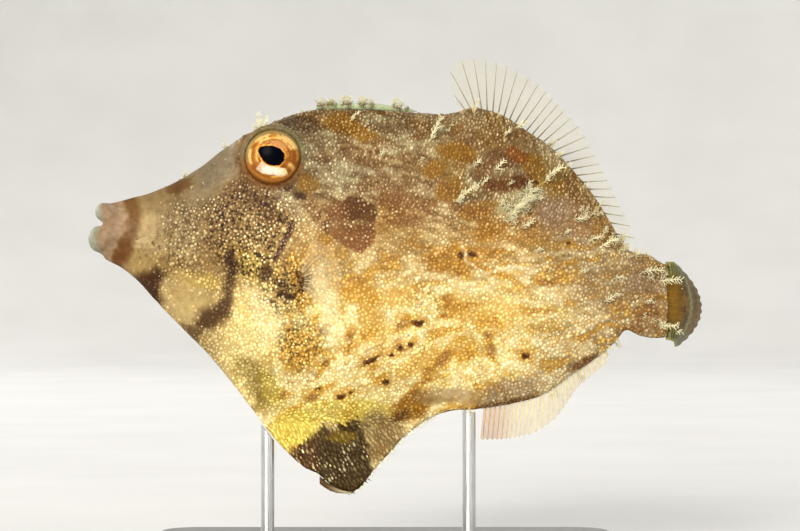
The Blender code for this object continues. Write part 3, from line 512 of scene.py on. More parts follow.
    def shaded(self):
        """The colours at the end; the upper side is greyer than its patches, most of all behind."""
        above = fade(self.z, 53, 6)[:, None] * fade(self.x, -20, 5)[:, None]
        skin = self.skin * (1.0 - above * (0.06, 0.01, -0.03))
        skin = skin * (1.0 - fade(self.x, 16, 9)[:, None] * (0.07, 0.07, 0.06))
        shade = 1.0 + 0.07 * cloud(self.flat, 7.0, 17) + 0.07 * cloud(self.flat, 0.8, 19)
        return np.clip(skin * shade[:, None], 0.0, 1.0)


def pigment(points):
    """Colour of the skin at points; both flanks carry the markings, each with its own clouds."""
    marks = Markings(points)
    marks.lay_ground()
    for soft, patches in ((0.3, BACK_PATCHES), (0.35, FLANK_PATCHES)):
        for oval, tint, amount in patches:
            marks.spot(tint, amount, oval, soft)
    marks.lay_head()
    marks.lay_heart()
    marks.lay_flap()
    marks.lay_fine_marks()
    marks.lay_edges()
    return marks.shaded()


def bareness(points):
    """How smooth the skin is: nearly bare lips, snout and forehead, granular elsewhere."""
    x, z = points[:, 0], points[:, 2]
    bare = smooth((-30.0 - x + 0.35 * (z - 50.0)) / 6.0)
    for amount, oval, soft in ((1.0, (-25.4, 60, 7, 3.2, 38), 0.3), (0.8, (-29.5, 40.6, 4.6, 3, -45), 0.4),
                               (0.7, (9.5, 26, 5, 1.6, 4), 0.4)):
        bare = np.maximum(bare, amount * ellipse(x, z, oval, soft))
    return bare


def speckle(points):
    """How strongly dark dots show between the granules."""
    x, z = points[:, 0], points[:, 2]
    cheek = inside(x, z, CHEEK, 2.4)
    for amount, oval, soft in ((0.9, (-14.5, 43, 4, 4.5, 0), 0.4), (0.6, (-30, 50, 4, 6, 0), 0.5),
                               (0.5, (-12, 33.6, 4, 4, 0), 0.5)):
        cheek = np.maximum(cheek, amount * ellipse(x, z, oval, soft))
    return np.clip(cheek + 0.35 * smooth(cloud(flank_places(points), 6.0, 21) * 2.0 - 0.2), 0.0, 1.0)


# Meshes.
def add_object(name, data):
    thing = bpy.data.objects.new(name, data)
    bpy.context.scene.collection.objects.link(thing)
    return thing


def mesh_of(name, corners, faces):
    """A mesh from an array of corners in millimetres and an array of triangles or quads."""
    corners, faces = np.asarray(corners, float) * MM, np.asarray(faces, int)
    mesh = bpy.data.meshes.new(name)
    mesh.vertices.add(len(corners))
    mesh.vertices.foreach_set("co", corners.ravel())
    mesh.loops.add(faces.size)
    mesh.loops.foreach_set("vertex_index", faces.ravel())
    mesh.polygons.add(len(faces))
    mesh.polygons.foreach_set("loop_start", np.arange(0, faces.size, faces.shape[1]))
    mesh.update(calc_edges=True)
    mesh.validate()
    return mesh


def turned_outwards(mesh):
    build = bmesh.new()
    build.from_mesh(mesh)
    bmesh.ops.recalc_face_normals(build, faces=build.faces)
    build.to_mesh(mesh)
    build.free()
    return mesh


def read_rows(collection, key, count, kind=float):
    """One value of every item of a Blender collection, as rows of so many numbers."""
    values = np.empty(len(collection) * count, kind)
    collection.foreach_get(key, values)
    return values.reshape(-1, count) if count > 1 else values


def corners_of(mesh):
    return read_rows(mesh.vertices, "co", 3) / MM


def normals_of(mesh):
    return read_rows(mesh.vertex_normals, "vector", 3)


def colour_mesh(mesh, colours):
    values = np.ones((len(mesh.vertices), 4))
    values[:, :3] = colours
    layer = mesh.color_attributes.new("pigment", "FLOAT_COLOR", "POINT")
    layer.data.foreach_set("color", values.ravel())


def number_mesh(mesh, name, numbers):
    layer = mesh.attributes.new(name, "FLOAT", "POINT")
    layer.data.foreach_set("value", np.asarray(numbers, float))


def halves(quads):
    return np.concatenate([quads[:, [0, 1, 2]], quads[:, [0, 2, 3]]])


def ring_quads(rings, sides, closed=False):
    """Quads between rings of corners that follow one another; closed joins the last to the first."""
    k, i = np.meshgrid(np.arange(rings if closed else rings - 1), np.arange(sides), indexing="ij")
    here, there, j = k * sides, (k + 1) % rings * sides, (i + 1) % sides
    return np.stack([here + i, here + j, there + j, there + i], axis=-1).reshape(-1, 4)


def fan(ring, tip):
    """Triangles from a ring of corners to a tip, all given by number."""
    return np.stack([ring, np.roll(ring, -1), np.full(len(ring), tip)], axis=1)


def closed_roll(rings, start, end):
    """Corners and triangles of rings that follow one another, closed at both ends by a point."""
    count, sides = rings.shape[:2]
    corners = np.concatenate([rings.reshape(-1, 3), [start, end]])
    ring = np.arange(sides)
    caps = [fan(ring, count * sides)[:, [1, 0, 2]], fan((count - 1) * sides + ring, count * sides + 1)]
    return corners, np.concatenate([halves(ring_quads(count, sides))] + caps)


def slab(front, rear):
    """Corners and quads of a closed slab between two grids of corners."""
    corners = np.concatenate([front, rear[:, ::-1]], axis=1)
    count, sides = corners.shape[:2]
    j = np.arange(sides // 2 - 1)
    faces = [ring_quads(count, sides)]
    for start in (0, (count - 1) * sides):
        faces.append(start + np.stack([j, j + 1, sides - 2 - j, sides - 1 - j], axis=1))
    return corners.reshape(-1, 3), faces


def elliptic_rings(path, across, up, wide, tall, sides):
    """Elliptic rings along a path; each place has its own two directions and radii."""
    turn = 2 * pi * np.arange(sides) / sides
    return (path[:, None, :] + across[:, None, :] * (wide[:, None] * np.cos(turn))[..., None]
            + up[:, None, :] * (tall[:, None] * np.sin(turn))[..., None])


def joined(parts):
    """One set of corners and triangles from many."""
    starts = np.cumsum([0] + [len(corners) for corners, _ in parts])
    return (np.concatenate([corners for corners, _ in parts]),
            np.concatenate([triangles + start for (_, triangles), start in zip(parts, starts)]))


# The flat unwrap of the skin: the two flanks side by side, opened out at the back and the keel.
MAP_LEFT, MAP_LOW, MAP_LONG, MAP_TALL = -50.0, -4.0, 110.0, 92.0
MAP_OPENING = 0.8
TUFT_PATCH = 0.003


def unwrap(points, far):
    """Place of skin points on the unwrap; far is true on the far flank."""
    x, y, z = points.T
    out = np.abs(y - middle(x))
    girth = curve(HALF_WIDTH, x)
    upper = np.where(z > curve(WIDEST_LINE, x), 1.0, -1.0)
    opened_z = z + MAP_OPENING * upper * np.maximum(0.0, girth - out)
    opened_x = x - MAP_OPENING * np.maximum(0.0, HALF_WIDTH[0][1] - out) * fade(x, -40.5, -2)
    u = (opened_x - MAP_LEFT) / MAP_LONG * 0.5 + np.where(far, 0.5, 0.0)
    return np.stack([u, (opened_z - MAP_LOW) / MAP_TALL], axis=1)


def add_map(mesh, values):
    mesh.uv_layers.new(name="OFBake").data.foreach_set("uv", values.ravel())


def map_skin(mesh):
    """Give a skin mesh its unwrap, each face wholly on one flank's side."""
    corners = corners_of(mesh)
    loops = read_rows(mesh.loops, "vertex_index", 1, int)
    counts = read_rows(mesh.polygons, "loop_total", 1, int)
    owner = np.repeat(np.arange(len(counts)), counts)
    offset = corners[:, 1] - middle(corners[:, 0])
    side = np.bincount(owner, offset[loops]) / counts
    add_map(mesh, unwrap(corners[loops], (side > 0)[owner]))


def map_tufts(mesh, roots, local):
    """Give each tuft a small patch of the unwrap at its root; local runs from -1 to 1 on it."""
    far = roots[:, 1] > middle(roots[:, 0])
    values = unwrap(roots, far) + np.clip(local, -1.0, 1.0) * TUFT_PATCH * 0.5
    add_map(mesh, values[read_rows(mesh.loops, "vertex_index", 1, int)])


def settle(thing, slot, *nodes):
    """Let a finished piece ride on the body, in the place of its nodes."""
    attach(thing, BODY)
    if nodes:
        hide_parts(*nodes)


def add_piece(mesh, material, slot, *nodes):
    """Make a mesh a smooth piece of the fish."""
    mesh.shade_smooth()
    mesh.materials.append(material)
    settle(add_object(mesh.name, mesh), slot, *nodes)


# Materials.
class Look:
    """A material in the making: its tree, its shader and the place on the object in millimetres."""

    def __init__(self, name):
        self.material = bpy.data.materials.new(name)
        self.material.use_nodes = True
        self.tree = self.material.node_tree
        self.shader = self.tree.nodes["Principled BSDF"]
        place = self.node("ShaderNodeTexCoord").outputs["Object"]
        scale = self.node("ShaderNodeVectorMath", "SCALE", Vector=place, Scale=1.0 / MM)
        self.coords = scale.outputs["Vector"]

    def supply(self, socket, value):
        """Link an output to an input, or set the input to a constant."""
        if isinstance(value, bpy.types.NodeSocket):
            self.tree.links.new(value, socket)
        else:
            socket.default_value = (*value, 1.0) if socket.type == "RGBA" else value

    def set(self, **inputs):
        for name, value in inputs.items():
            self.supply(self.shader.inputs[name.replace("_", " ")], value)

    def node(self, kind, operation=None, **inputs):
        made = self.tree.nodes.new(kind)
        if operation:
            made.operation = operation
        for name, value in inputs.items():
            self.supply(made.inputs[name], value)
        return made

    def noise(self, scale, detail=3.0, rough=0.55, coords=None):
        made = self.node("ShaderNodeTexNoise", Vector=self.coords if coords is None else coords, Scale=scale,
                         Detail=detail, Roughness=rough)
        return made.outputs["Fac"]

    def stretched(self, *scale):
        return self.node("ShaderNodeMapping", Vector=self.coords, Scale=scale).outputs["Vector"]

    def ramp(self, value, *stops):
        """A value turned into a colour or grey between its stops, each a place and a shade."""
        made = self.node("ShaderNodeValToRGB", Fac=value)
        for element, (place, shade) in zip(made.color_ramp.elements, stops):
            element.position = place
            element.color = (*(shade if np.ndim(shade) else (shade, shade, shade)), 1.0)
        return made.outputs["Color"]

    def spread(self, low, high, *noise):
        """Noise between two shades."""
        return self.ramp(self.noise(*noise), (0.3, low), (0.7, high))

    def mix(self, factor, first, second, mode="MIX"):
        made = self.tree.nodes.new("ShaderNodeMix")
        made.data_type = "RGBA"
        made.blend_type = mode
        for k, value in ((0, factor), (6, first), (7, second)):
            self.supply(made.inputs[k], value)
        return made.outputs[2]

    def times(self, first, second):
        made = self.node("ShaderNodeMath", "MULTIPLY")
        for socket, value in zip(made.inputs, (first, second)):
            self.supply(socket, value)
        return made.outputs[0]

    def attribute(self, name, output="Fac"):
        made = self.tree.nodes.new("ShaderNodeAttribute")
        made.attribute_name = name
        return made.outputs[output]

    def pigment(self, low, high, *noise):
        """The piece's own colours, made darker and lighter by noise."""
        return self.mix(1.0, self.attribute("pigment", "Color"), self.spread(low, high, *noise), "MULTIPLY")

    def bump(self, height, strength, distance):
        made = self.node("ShaderNodeBump", Strength=strength, Distance=distance * MM, Height=height)
        self.set(Normal=made.outputs["Normal"])


def skin_material():
    """Soft granular skin: markings from the pigment, dark dots, and a fine grain."""
    look = Look("fish_skin")
    soft = look.ramp(look.noise(1.3, 5.0, 0.7), (0.32, (0.74, 0.67, 0.56)), (0.68, (1.10, 1.10, 1.09)))
    base = look.mix(1.0, look.attribute("pigment", "Color"), soft, "MULTIPLY")
    cells = look.node("ShaderNodeTexVoronoi", Vector=look.coords, Scale=2.4, Randomness=0.9)
    grain = look.ramp(cells.outputs["Distance"], (0.10, 1.0), (0.60, 0.0))
    gaps = look.ramp(grain, (0.0, (0.62, 0.53, 0.42)), (0.7, (1.0, 1.0, 1.0)))
    base = look.mix(look.attribute("gaps"), base, look.mix(1.0, base, gaps, "MULTIPLY"))
    flecks = look.ramp(look.noise(2.6, 2.0, 0.6), (0.47, 0.0), (0.57, 1.0))
    warm = look.mix(1.0, base, (0.92, 0.77, 0.50), "MULTIPLY")
    base = look.mix(look.times(flecks, look.attribute("warmth")), base, warm)
    dots = look.ramp(look.noise(1.9, 3.0, 0.7), (0.50, 0.0), (0.55, 1.0))
    dots = look.times(look.times(dots, look.attribute("dark_dots")), 0.9)
    look.set(Base_Color=look.mix(dots, base, colour("#1c0c03")), Roughness=look.spread(0.42, 0.62, 2.2),
             Subsurface_Weight=0.10, Subsurface_Radius=(1.0, 0.55, 0.25), Subsurface_Scale=0.0006,
             Specular_IOR_Level=0.10)
    height = look.mix(0.5, grain, look.noise(4.5, 4.0, 0.7))
    look.bump(look.times(height, look.attribute("granular")), 0.55, 0.12)
    return look.material


def coat_material(name, rough_low=0.5, rough_high=0.7):
    """Granules and threads: their own pigment with a faint grain."""
    look = Look(name)
    look.set(Base_Color=look.pigment(0.86, 1.1, 3.0, 3.0), Roughness=look.spread(rough_low, rough_high, 5.0),
             Subsurface_Weight=0.12, Subsurface_Radius=(1.0, 0.7, 0.4), Subsurface_Scale=0.0003,
             Specular_IOR_Level=0.14)
    return look.material


def membrane_material(name, alpha):
    """Thin clear fin skin, tinted by its pigment."""
    look = Look(name)
    look.set(Base_Color=look.pigment(0.8, 1.15, 1.6, 4.0), Roughness=look.spread(0.35, 0.55, 2.5),
             Specular_IOR_Level=0.06, Alpha=alpha)
    look.bump(look.noise(2.2, 3.0), 0.3, 0.06)
    return look.material


def eye_material():
    """Wet metallic iris round a dark pupil, coloured by its pigment."""
    look = Look("fish_eye")
    look.set(Base_Color=look.pigment(0.78, 1.22, 4.0, 5.0, 0.7), Metallic=look.attribute("shine"),
             Roughness=look.spread(0.22, 0.38, 3.0), Specular_IOR_Level=0.012, Coat_Weight=0.012,
             Coat_Roughness=0.03, Coat_IOR=1.33)
    return look.material


def base_material():
    """Black satin lacquer with the wood's grain just showing."""
    look = Look("stand_lacquer")
    grain = look.noise(1.0, 6.0, 0.7, look.stretched(0.05, 0.9, 0.9))
    look.set(Base_Color=look.ramp(grain, (0.3, (0.010, 0.009, 0.008)), (0.7, (0.028, 0.024, 0.021))),
             Roughness=look.ramp(grain, (0.3, 0.26), (0.7, 0.40)), Coat_Weight=0.4, Coat_Roughness=0.15)
    look.bump(grain, 0.2, 0.05)
    return look.material


def rod_material():
    """Brushed steel with fine lines along the rod."""
    look = Look("stand_steel")
    lines = look.noise(1.0, 3.0, 0.55, look.stretched(9.0, 9.0, 0.25))
    look.set(Base_Color=look.ramp(lines, (0.3, (0.46, 0.46, 0.45)), (0.7, (0.68, 0.68, 0.66))),
             Roughness=look.ramp(lines, (0.3, 0.24), (0.7, 0.38)), Metallic=1.0)
    return look.material


def stage_material():
    look = Look("stage_paper")
    look.set(Base_Color=look.spread((0.65, 0.64, 0.615), (0.69, 0.68, 0.655), 0.02, 2.0), Roughness=0.9)
    return look.material


# Skin.
BODY_COLUMN, BODY_ROWS = 0.5, 64
ROLL_SIDES = 20
LID_STEPS = 72
SNOUT_EASE = -37.5


def body_form():
    """The closed body before its skin is relaxed, as corners and triangles."""
    columns = np.concatenate([np.arange(SNOUT_FACE, STALK_END, BODY_COLUMN), [STALK_END]])
    flat = np.linspace(0.0, 1.0, BODY_ROWS)
    heights = 0.45 * flat + 0.55 * (0.5 - 0.5 * np.cos(pi * flat))
    x = np.repeat(columns[:, None], BODY_ROWS, axis=1)
    low, top = keel(columns)[:, None], back(columns)[:, None]
    z = low + (top - low) * heights[None, :]
    width = half_width(x, z)
    width = np.where(eye_distance(x, z) < LID_RADIUS, np.minimum(width, EYE_OUT - 0.5), width)
    near, far = (np.stack([x, middle(x) + side * width, z], axis=-1) for side in (-1, 1))
    corners, faces = slab(near, far)
    return corners, np.concatenate([halves(quads) for quads in faces])


def lip_form(lip):
    turn = np.radians(np.linspace(-105, 105, 41))
    path = np.stack([LIP_CENTRE - (lip["front"] - LIP_BACKING) * np.cos(turn), LIP_SIDE * np.sin(turn),
                     lip["height"] + lip["drop"] * (1 - np.cos(turn))], axis=1)
    ahead = unit(np.gradient(path, axis=0))
    across = unit(np.cross(ahead, (0.0, 0.0, 1.0)))
    fullness = np.cos(turn * 0.8)
    size = 0.45 + 0.55 * fullness
    wide = lip["thick"] * size + LIP_BACKING * fullness
    rings = elliptic_rings(path, across, np.cross(across, ahead), wide, lip["tall"] * size, ROLL_SIDES)
    return closed_roll(rings, path[0], path[-1])


def lid_form(side):
    """The raised ring of skin round an eye."""
    turn = 2 * pi * np.arange(LID_STEPS) / LID_STEPS
    x, z = EYE_PLACE[0] + LID_RADIUS * np.cos(turn), EYE_PLACE[1] + LID_RADIUS * np.sin(turn)
    y = np.clip(half_width(x, np.minimum(z, back(x) - 0.5)) + 0.1, EYE_OUT + 0.1, EYE_OUT + 1.2)
    path = np.stack([x, side * (y - 0.25), z], axis=1)
    out = np.stack([np.cos(turn), np.zeros(LID_STEPS), np.sin(turn)], axis=1)
    up = np.tile((0.0, side, 0.0), (LID_STEPS, 1))
    wide, tall = (np.full(LID_STEPS, LID_THICK * share) for share in (1.05, 1.1))
    rings = elliptic_rings(path, out, up, wide, tall, ROLL_SIDES)
    return rings.reshape(-1, 3), halves(ring_quads(LID_STEPS, ROLL_SIDES, closed=True))


def chin_form(sides=32, rings=17):
    """The pad of flesh under the lower lip."""
    turn, rise = 2 * pi * np.arange(sides) / sides, pi * (np.arange(rings) + 0.5) / rings
    ring = np.stack([np.cos(turn), np.sin(turn), np.zeros(sides)], axis=1)
    ball = np.array([ring * sin(r) + (0.0, 0.0, -cos(r)) for r in rise])
    low, top = (np.array((0.0, 0.0, end)) * CHIN_RADII + CHIN_PLACE for end in (-1.0, 1.0))
    return closed_roll(ball * CHIN_RADII + CHIN_PLACE, low, top)


def relief(points):
    """How far the skin stands out or sinks in at its points."""
    x, z = points[:, 0], points[:, 2]
    gill, gone = line_distance(x, z, GILL_LINE), eye_distance(x, z)
    lift = -0.55 * bell(gill, 0.26)
    lift += 0.16 * bell(gill - 0.8, 0.4)
    pectoral = np.hypot(x - PECTORAL_BASE[0], (z - PECTORAL_BASE[1]) * 0.85)
    lift += 0.34 * bell(pectoral - 1.1, 0.4)
    for hole_x, hole_z, radius in NOSTRILS:
        hole = np.hypot(x - hole_x, z - hole_z)
        lift += 0.16 * bell(hole - radius - 0.14, 0.14) - 0.5 * np.exp(-(hole / radius) ** 4)
    lift += 0.05 * np.sin(gone * 7.0) * fade(gone, 6.6, -1) * fade(gone, 4.9, 0.4)
    flap = fade(z, 25, -4) * fade(x, -21, 2) * fade(x, 8, -2)
    lift += 0.13 * flap * np.sin(np.arctan2(z - 30.0, x + 16.0) * 46.0) * smooth(z - keel(x))
    edge = edge_distance(x, z)
    rear = fade(x, 10, 6) * fade(edge, 5.5, -3) * smooth(edge / 0.8)
    lift += 0.06 * rear * np.sin(x * 5.4 + z * 1.5)
    lift += 0.14 * bell(line_distance(x, z, SQUIGGLE), 0.24)
    lift += 0.22 * cloud(points, 7.0, 31) * smooth(edge / 2.0) + 0.07 * cloud(points, 1.8, 35)
    return lift * (0.1 + 0.9 * fade(x, -42, 5))


def apply_modifiers(thing):
    """Turn an object's modifiers into its mesh."""
    depsgraph = bpy.context.evaluated_depsgraph_get()
    mesh = bpy.data.meshes.new_from_object(thing.evaluated_get(depsgraph))
    thing.modifiers.clear()
    thing.data = mesh
    return mesh


def relax(thing, iterations, group=""):
    smoothing = thing.modifiers.new("relax", "SMOOTH")
    smoothing.factor = 0.5
    smoothing.iterations = iterations
    smoothing.vertex_group = group


def make_skin():
    """One skin over the whole body, with its relief, its markings and what its material reads."""
    forms = [body_form(), lip_form(UPPER_LIP), lip_form(LOWER_LIP), chin_form(), lid_form(-1), lid_form(1)]
    skin = add_object("fish_skin", turned_outwards(mesh_of("fish_skin", *joined(forms))))
    remesh = skin.modifiers.new("remesh", "REMESH")
    remesh.mode = "VOXEL"
    remesh.voxel_size = SKIN_VOXEL * MM
    relax(skin, 3)
    share = fade(corners_of(apply_modifiers(skin))[:, 0], SNOUT_EASE, -3)
    snout = skin.vertex_groups.new(name="snout")
    for index in np.nonzero(share)[0].tolist():
        snout.add([index], float(share[index]), "REPLACE")
    relax(skin, LIP_EASING, "snout")
    mesh = apply_modifiers(skin)
    points = corners_of(mesh)
    points = points + normals_of(mesh) * (relief(points) - COAT_DEPTH)[:, None]
    mesh.vertices.foreach_set("co", (points * MM).ravel())
    mesh.update()
    grainy, dots = 1.0 - 0.85 * bareness(points), speckle(points)
    rise = fade(points[:, 2], 46, 10)
    colour_mesh(mesh, linear(pigment(points) * (1.0 - GROUND_DIM * grainy)[:, None]))
    number_mesh(mesh, "dark_dots", dots)
    number_mesh(mesh, "granular", grainy)
    number_mesh(mesh, "gaps", grainy * np.clip(0.44 + 0.26 * rise + 0.36 * dots, 0.0, 1.0))
    number_mesh(mesh, "warmth", grainy * (0.7 - 0.35 * rise))
    map_skin(mesh)
    mesh.shade_smooth()
    mesh.materials.clear()
    mesh.materials.append(skin_material())
    settle(skin, "trunk_skin", "head", "trunk", "ventral_flap", "tail_stalk")
    return mesh


# Granules.
NEIGHBOURS = list(product((-1, 0, 1), repeat=3))


def surface_samples(mesh, spacing, seed, attempts=7):
    """Evenly scattered points on a mesh, with their normals."""
    draw = np.random.default_rng(seed)
    mesh.calc_loop_triangles()
    triangles = read_rows(mesh.loop_triangles, "vertices", 3, int)
    corners, normals = corners_of(mesh), normals_of(mesh)
    a, b, c = (corners[triangles[:, k]] for k in range(3))
    area = np.linalg.norm(np.cross(b - a, c - a), axis=1) * 0.5
    count = int(area.sum() / (spacing * spacing) * attempts)
    pick = draw.choice(len(triangles), count, p=area / area.sum())
    s, t = draw.random(count), draw.random(count)
    flip = s + t > 1
    s[flip], t[flip] = 1 - s[flip], 1 - t[flip]
    share = np.stack([1 - s - t, s, t], axis=1)
    points, outs = (np.einsum("nk,nkc->nc", share, values[triangles[pick]]) for values in (corners, normals))
    cells, kept = {}, []
    for index, spot in enumerate(points):
        x, y, z = (spot // spacing).astype(int).tolist()
        others = (cells.get((x + dx, y + dy, z + dz)) for dx, dy, dz in NEIGHBOURS)
        if not any(other is not None and np.sum((points[other] - spot) ** 2) < spacing * spacing
                   for other in others):
            cells[x, y, z] = index
            kept.append(index)
    return points[kept], unit(outs[kept])


# A granule's rings: height, radius and share of its top's colour, with its tip on top of them.
GRAIN_SIDES = 5
GRAIN_RINGS = ((-0.6, 1.0, 0.0), (0.35, 0.88, 0.35), (0.82, 0.5, 1.0))
GRAIN_MAP = (1.0, 0.7, 0.35)


def grains(name, roots, outs, lean, wide, tall, feet, tops, stretch):
    """Many small rounded granules as one mesh; every size and colour is one value for each."""
    count, sides = len(roots), GRAIN_SIDES
    along = lean - outs * np.sum(lean * outs, axis=1)[:, None]
    along /= np.maximum(np.linalg.norm(along, axis=1), 1e-6)[:, None]
    across = np.cross(outs, along)
    turn = 2 * pi * np.arange(sides) / sides
    around = (along[:, None, :] * (stretch[:, None] * np.cos(turn))[..., None]
              + across[:, None, :] * np.sin(turn)[None, :, None])
    rings = []
    for height, radius, _ in GRAIN_RINGS:
        centre = roots + (outs * height + lean * max(height, 0.0)) * tall[:, None]
        rings.append(centre[:, None, :] + around * (wide * radius)[:, None, None])
    tips = (roots + (outs + lean) * tall[:, None])[:, None, :]
    corners = np.concatenate(rings + [tips], axis=1)
    each = corners.shape[1]
    last = (len(GRAIN_RINGS) - 1) * sides
    top = fan(last + np.arange(sides), each - 1)
    faces = np.concatenate([halves(ring_quads(len(GRAIN_RINGS), sides)), top])
    faces = faces[None] + (np.arange(count) * each)[:, None, None]
    mesh = mesh_of(name, corners.reshape(-1, 3), faces.reshape(-1, 3))
    rise = np.append(np.repeat([share for _, _, share in GRAIN_RINGS], sides), 1.0)[None, :, None]
    colour_mesh(mesh, linear(feet[:, None, :] * (1 - rise) + tops[:, None, :] * rise).reshape(-1, 3))
    ring = np.stack([np.cos(turn), np.sin(turn)], axis=1)
    local = np.concatenate([ring * share for share in GRAIN_MAP] + [np.zeros((1, 2))])
    map_tufts(mesh, np.repeat(roots, each, axis=0), np.tile(local, (count, 1)))
    return mesh


GRANULE_SETS = (
    {"name": "granules", "spacing": 0.46, "seed": 5, "wide": 0.195, "tall": 0.12, "thin": 0.0},
    {"name": "studs", "spacing": 1.15, "seed": 6, "wide": 0.24, "tall": 0.19, "thin": 0.7},
)
GRANULE_CUTS = (-60.0, -18.0, -6.0, 6.0, 18.0, 60.0)
EYE_CLEAR = 4.9
LIPS_CLEAR = -40.0


def granule_colours(roots, draw):
    """Feet and tops of granules: as the skin below, pale on top, most of all on the cheek and the hump."""
    count = len(roots)
    x, z = roots[:, 0], roots[:, 2]
    flat = flank_places(roots)
    base, cheek, upper = pigment(roots), speckle(roots), fade(z, 46, 10)
    bright = draw.uniform(0.0, 1.0, count) ** (1.7 - 0.45 * upper - 0.45 * cheek)
    pebbly = (1.0 - upper) * (1.0 - cheek)
    patches = 0.3 + 0.7 * smooth(0.5 + 0.9 * cloud(flat, 2.2, 55))
    paleness = (0.25 * (upper * (1.0 - cheek)) + bright) * patches * (0.42 + 0.20 * upper + 0.50 * cheek)
    paleness = paleness * (1.0 - 0.78 * pebbly) + 0.13 * pebbly
    paleness *= 1.0 - 0.6 * (np.clip((base[:, 0] - base[:, 2]) * 2.2 - 0.75, 0.0, 1.0) * upper)
    dim = fade(base.mean(axis=1), 0.34, -0.10)
    clumps = fade(cloud(flat, 1.5, 58), -0.15, 0.45) * (1.0 - 0.85 * fade(z, 25, 2) * fade(x, -14, 2))
    paleness = paleness * (1 - dim) + dim * (0.08 + 0.85 * clumps * draw.uniform(0.0, 1.0, count) ** 1.8)
    heart = inside(x, z, HEART, 0.3)
    starry = 0.60 * fade(cloud(flat, 1.1, 59), 0.05, 0.3)
    for star_x, star_z, reach in HEART_STARS:
        starry = np.maximum(starry, np.exp(-((x - star_x) ** 2 + (z - star_z) ** 2) / reach ** 2))
    paleness = paleness * (1 - heart) + heart * (0.08 + 0.95 * starry * draw.uniform(0.0, 1.0, count) ** 0.5)
    top_tint = blend_to(paint("#fff2c4"), paint("#e2cba4"), upper)
    tops = blend_to(base, top_tint, np.clip(paleness, 0.0, 0.95))
    warm = 0.40 * (1.0 - upper) * draw.uniform(0.0, 1.0, count) ** 2
    tops = blend_to(tops, tops * (0.97, 0.86, 0.62), warm)
    tops *= (1.0 + 0.05 * draw.normal(0.0, 1.0, count))[:, None]
    feet = base * (0.93 - 0.13 * cheek)[:, None] * (1.0 - pebbly[:, None] * (0.05, 0.09, 0.17))
    worms = cloud(flat, 0.8, 57) + 0.16 * draw.normal(0.0, 1.0, count)
    worms = 0.9 * (cheek * smooth((worms - 0.33) / 0.10))
    return blend_to(feet, SPECK, worms), blend_to(tops, SPECK, worms)


def make_granules(skin):
    """The pale granules that cover the skin, in pieces along each flank."""
    material = coat_material("granules")
    for kind in GRANULE_SETS:
        spacing = kind["spacing"] * 1.0
        roots, outs = surface_samples(skin, spacing, kind["seed"])
        x, z = roots[:, 0], roots[:, 2]
        draw = np.random.default_rng(kind["seed"] + 50)
        keep = (eye_distance(x, z) > EYE_CLEAR) & (x > LIPS_CLEAR)
        keep &= draw.random(len(x)) > 0.94 * bareness(roots)
        keep &= draw.random(len(x)) > 0.06 + kind["thin"] * fade(z, 50, -6) * (1.0 - speckle(roots))
        roots, outs = roots[keep], outs[keep]
        x, z = roots[:, 0], roots[:, 2]
        count, cheek = len(roots), speckle(roots)
        feet, tops = granule_colours(roots, draw)
        flap = fade(z, 25, -4) * fade(x, 7, -3) * fade(x, -20, 4)
        hump = ellipse(x, z, (12, 62, 20, 8, -8), 0.4)
        low_body = fade(z, 52, -8)
        stretch = 1.10 + 0.9 * flap + 0.6 * hump
        lean = np.stack([0.25 + 0.3 * flap, np.zeros(count), 0.9 - 1.9 * flap], axis=1) * 0.45
        wide = kind["wide"] * draw.uniform(0.5, 1.35, count) * (1.0 + 0.06 * cheek) * (1.0 - 0.22 * hump)
        wide *= (1.0 - 0.15 * flap) * (1.0 + 0.26 * low_body * (1.0 - cheek))
        ridge = fade(edge_distance(x, z), 1.2, -0.8)
        tall = kind["tall"] * draw.uniform(0.7, 1.3, count) * (1.0 - 0.45 * ridge)
        tall *= 1.0 - 0.35 * low_body * (1.0 - cheek)
        on_far = roots[:, 1] > middle(x)
        for side, far in (("near", False), ("far", True)):
            for k, (start, end) in enumerate(zip(GRANULE_CUTS[:-1], GRANULE_CUTS[1:]), 1):
                here = (on_far == far) & (x >= start) & (x < end)
                name = f"{kind['name']}_{side}_{k}"
                values = [array[here] for array in (roots, outs, lean, wide, tall, feet, tops, stretch)]
                add_piece(grains(name, *values), material, "trunk_skin")


# Threads: place, rise in the side view in degrees, and length.
HEAD_THREADS = (
    (-18.4, 66.0, 98, 2.7), (-17.9, 66.2, 72, 2.0), (-18.8, 65.9, 122, 1.4), (-24.2, 63.2, 82, 1.7),
    (-24.0, 63.2, 55, 0.9), (-30.0, 59.0, 70, 1.2),
)
TRUNK_THREADS = (
    (-5.4, 67.4, 38, 2.5), (6.6, 64.5, 56, 4.9), (13.4, 68.4, 80, 2.4), (19.2, 66.6, 20, 2.2),
    (17.7, 64.8, 59, 2.0), (-0.9, 61.8, 55, 1.9), (12.9, 60.6, 39, 2.2), (16.0, 59.8, 50, 2.7),
    (10.0, 55.5, 30, 5.6), (25.6, 62.0, 45, 1.8), (23.5, 58.2, 36, 5.0), (18.3, 53.0, 43, 6.0),
    (28.0, 52.8, 14, 2.8), (32.0, 48.6, 26, 3.2), (32.6, 40.5, 37, 2.8), (24.0, 29.6, -40, 1.6),
    (33.0, 34.2, -30, 1.5), (31.6, 54.6, 40, 1.8),
)
STALK_THREADS = ((38.4, 45.0, 6, 3.6), (40.9, 43.6, 0, 4.0), (40.9, 37.2, 0, 4.0), (37.6, 47.2, 60, 1.4))
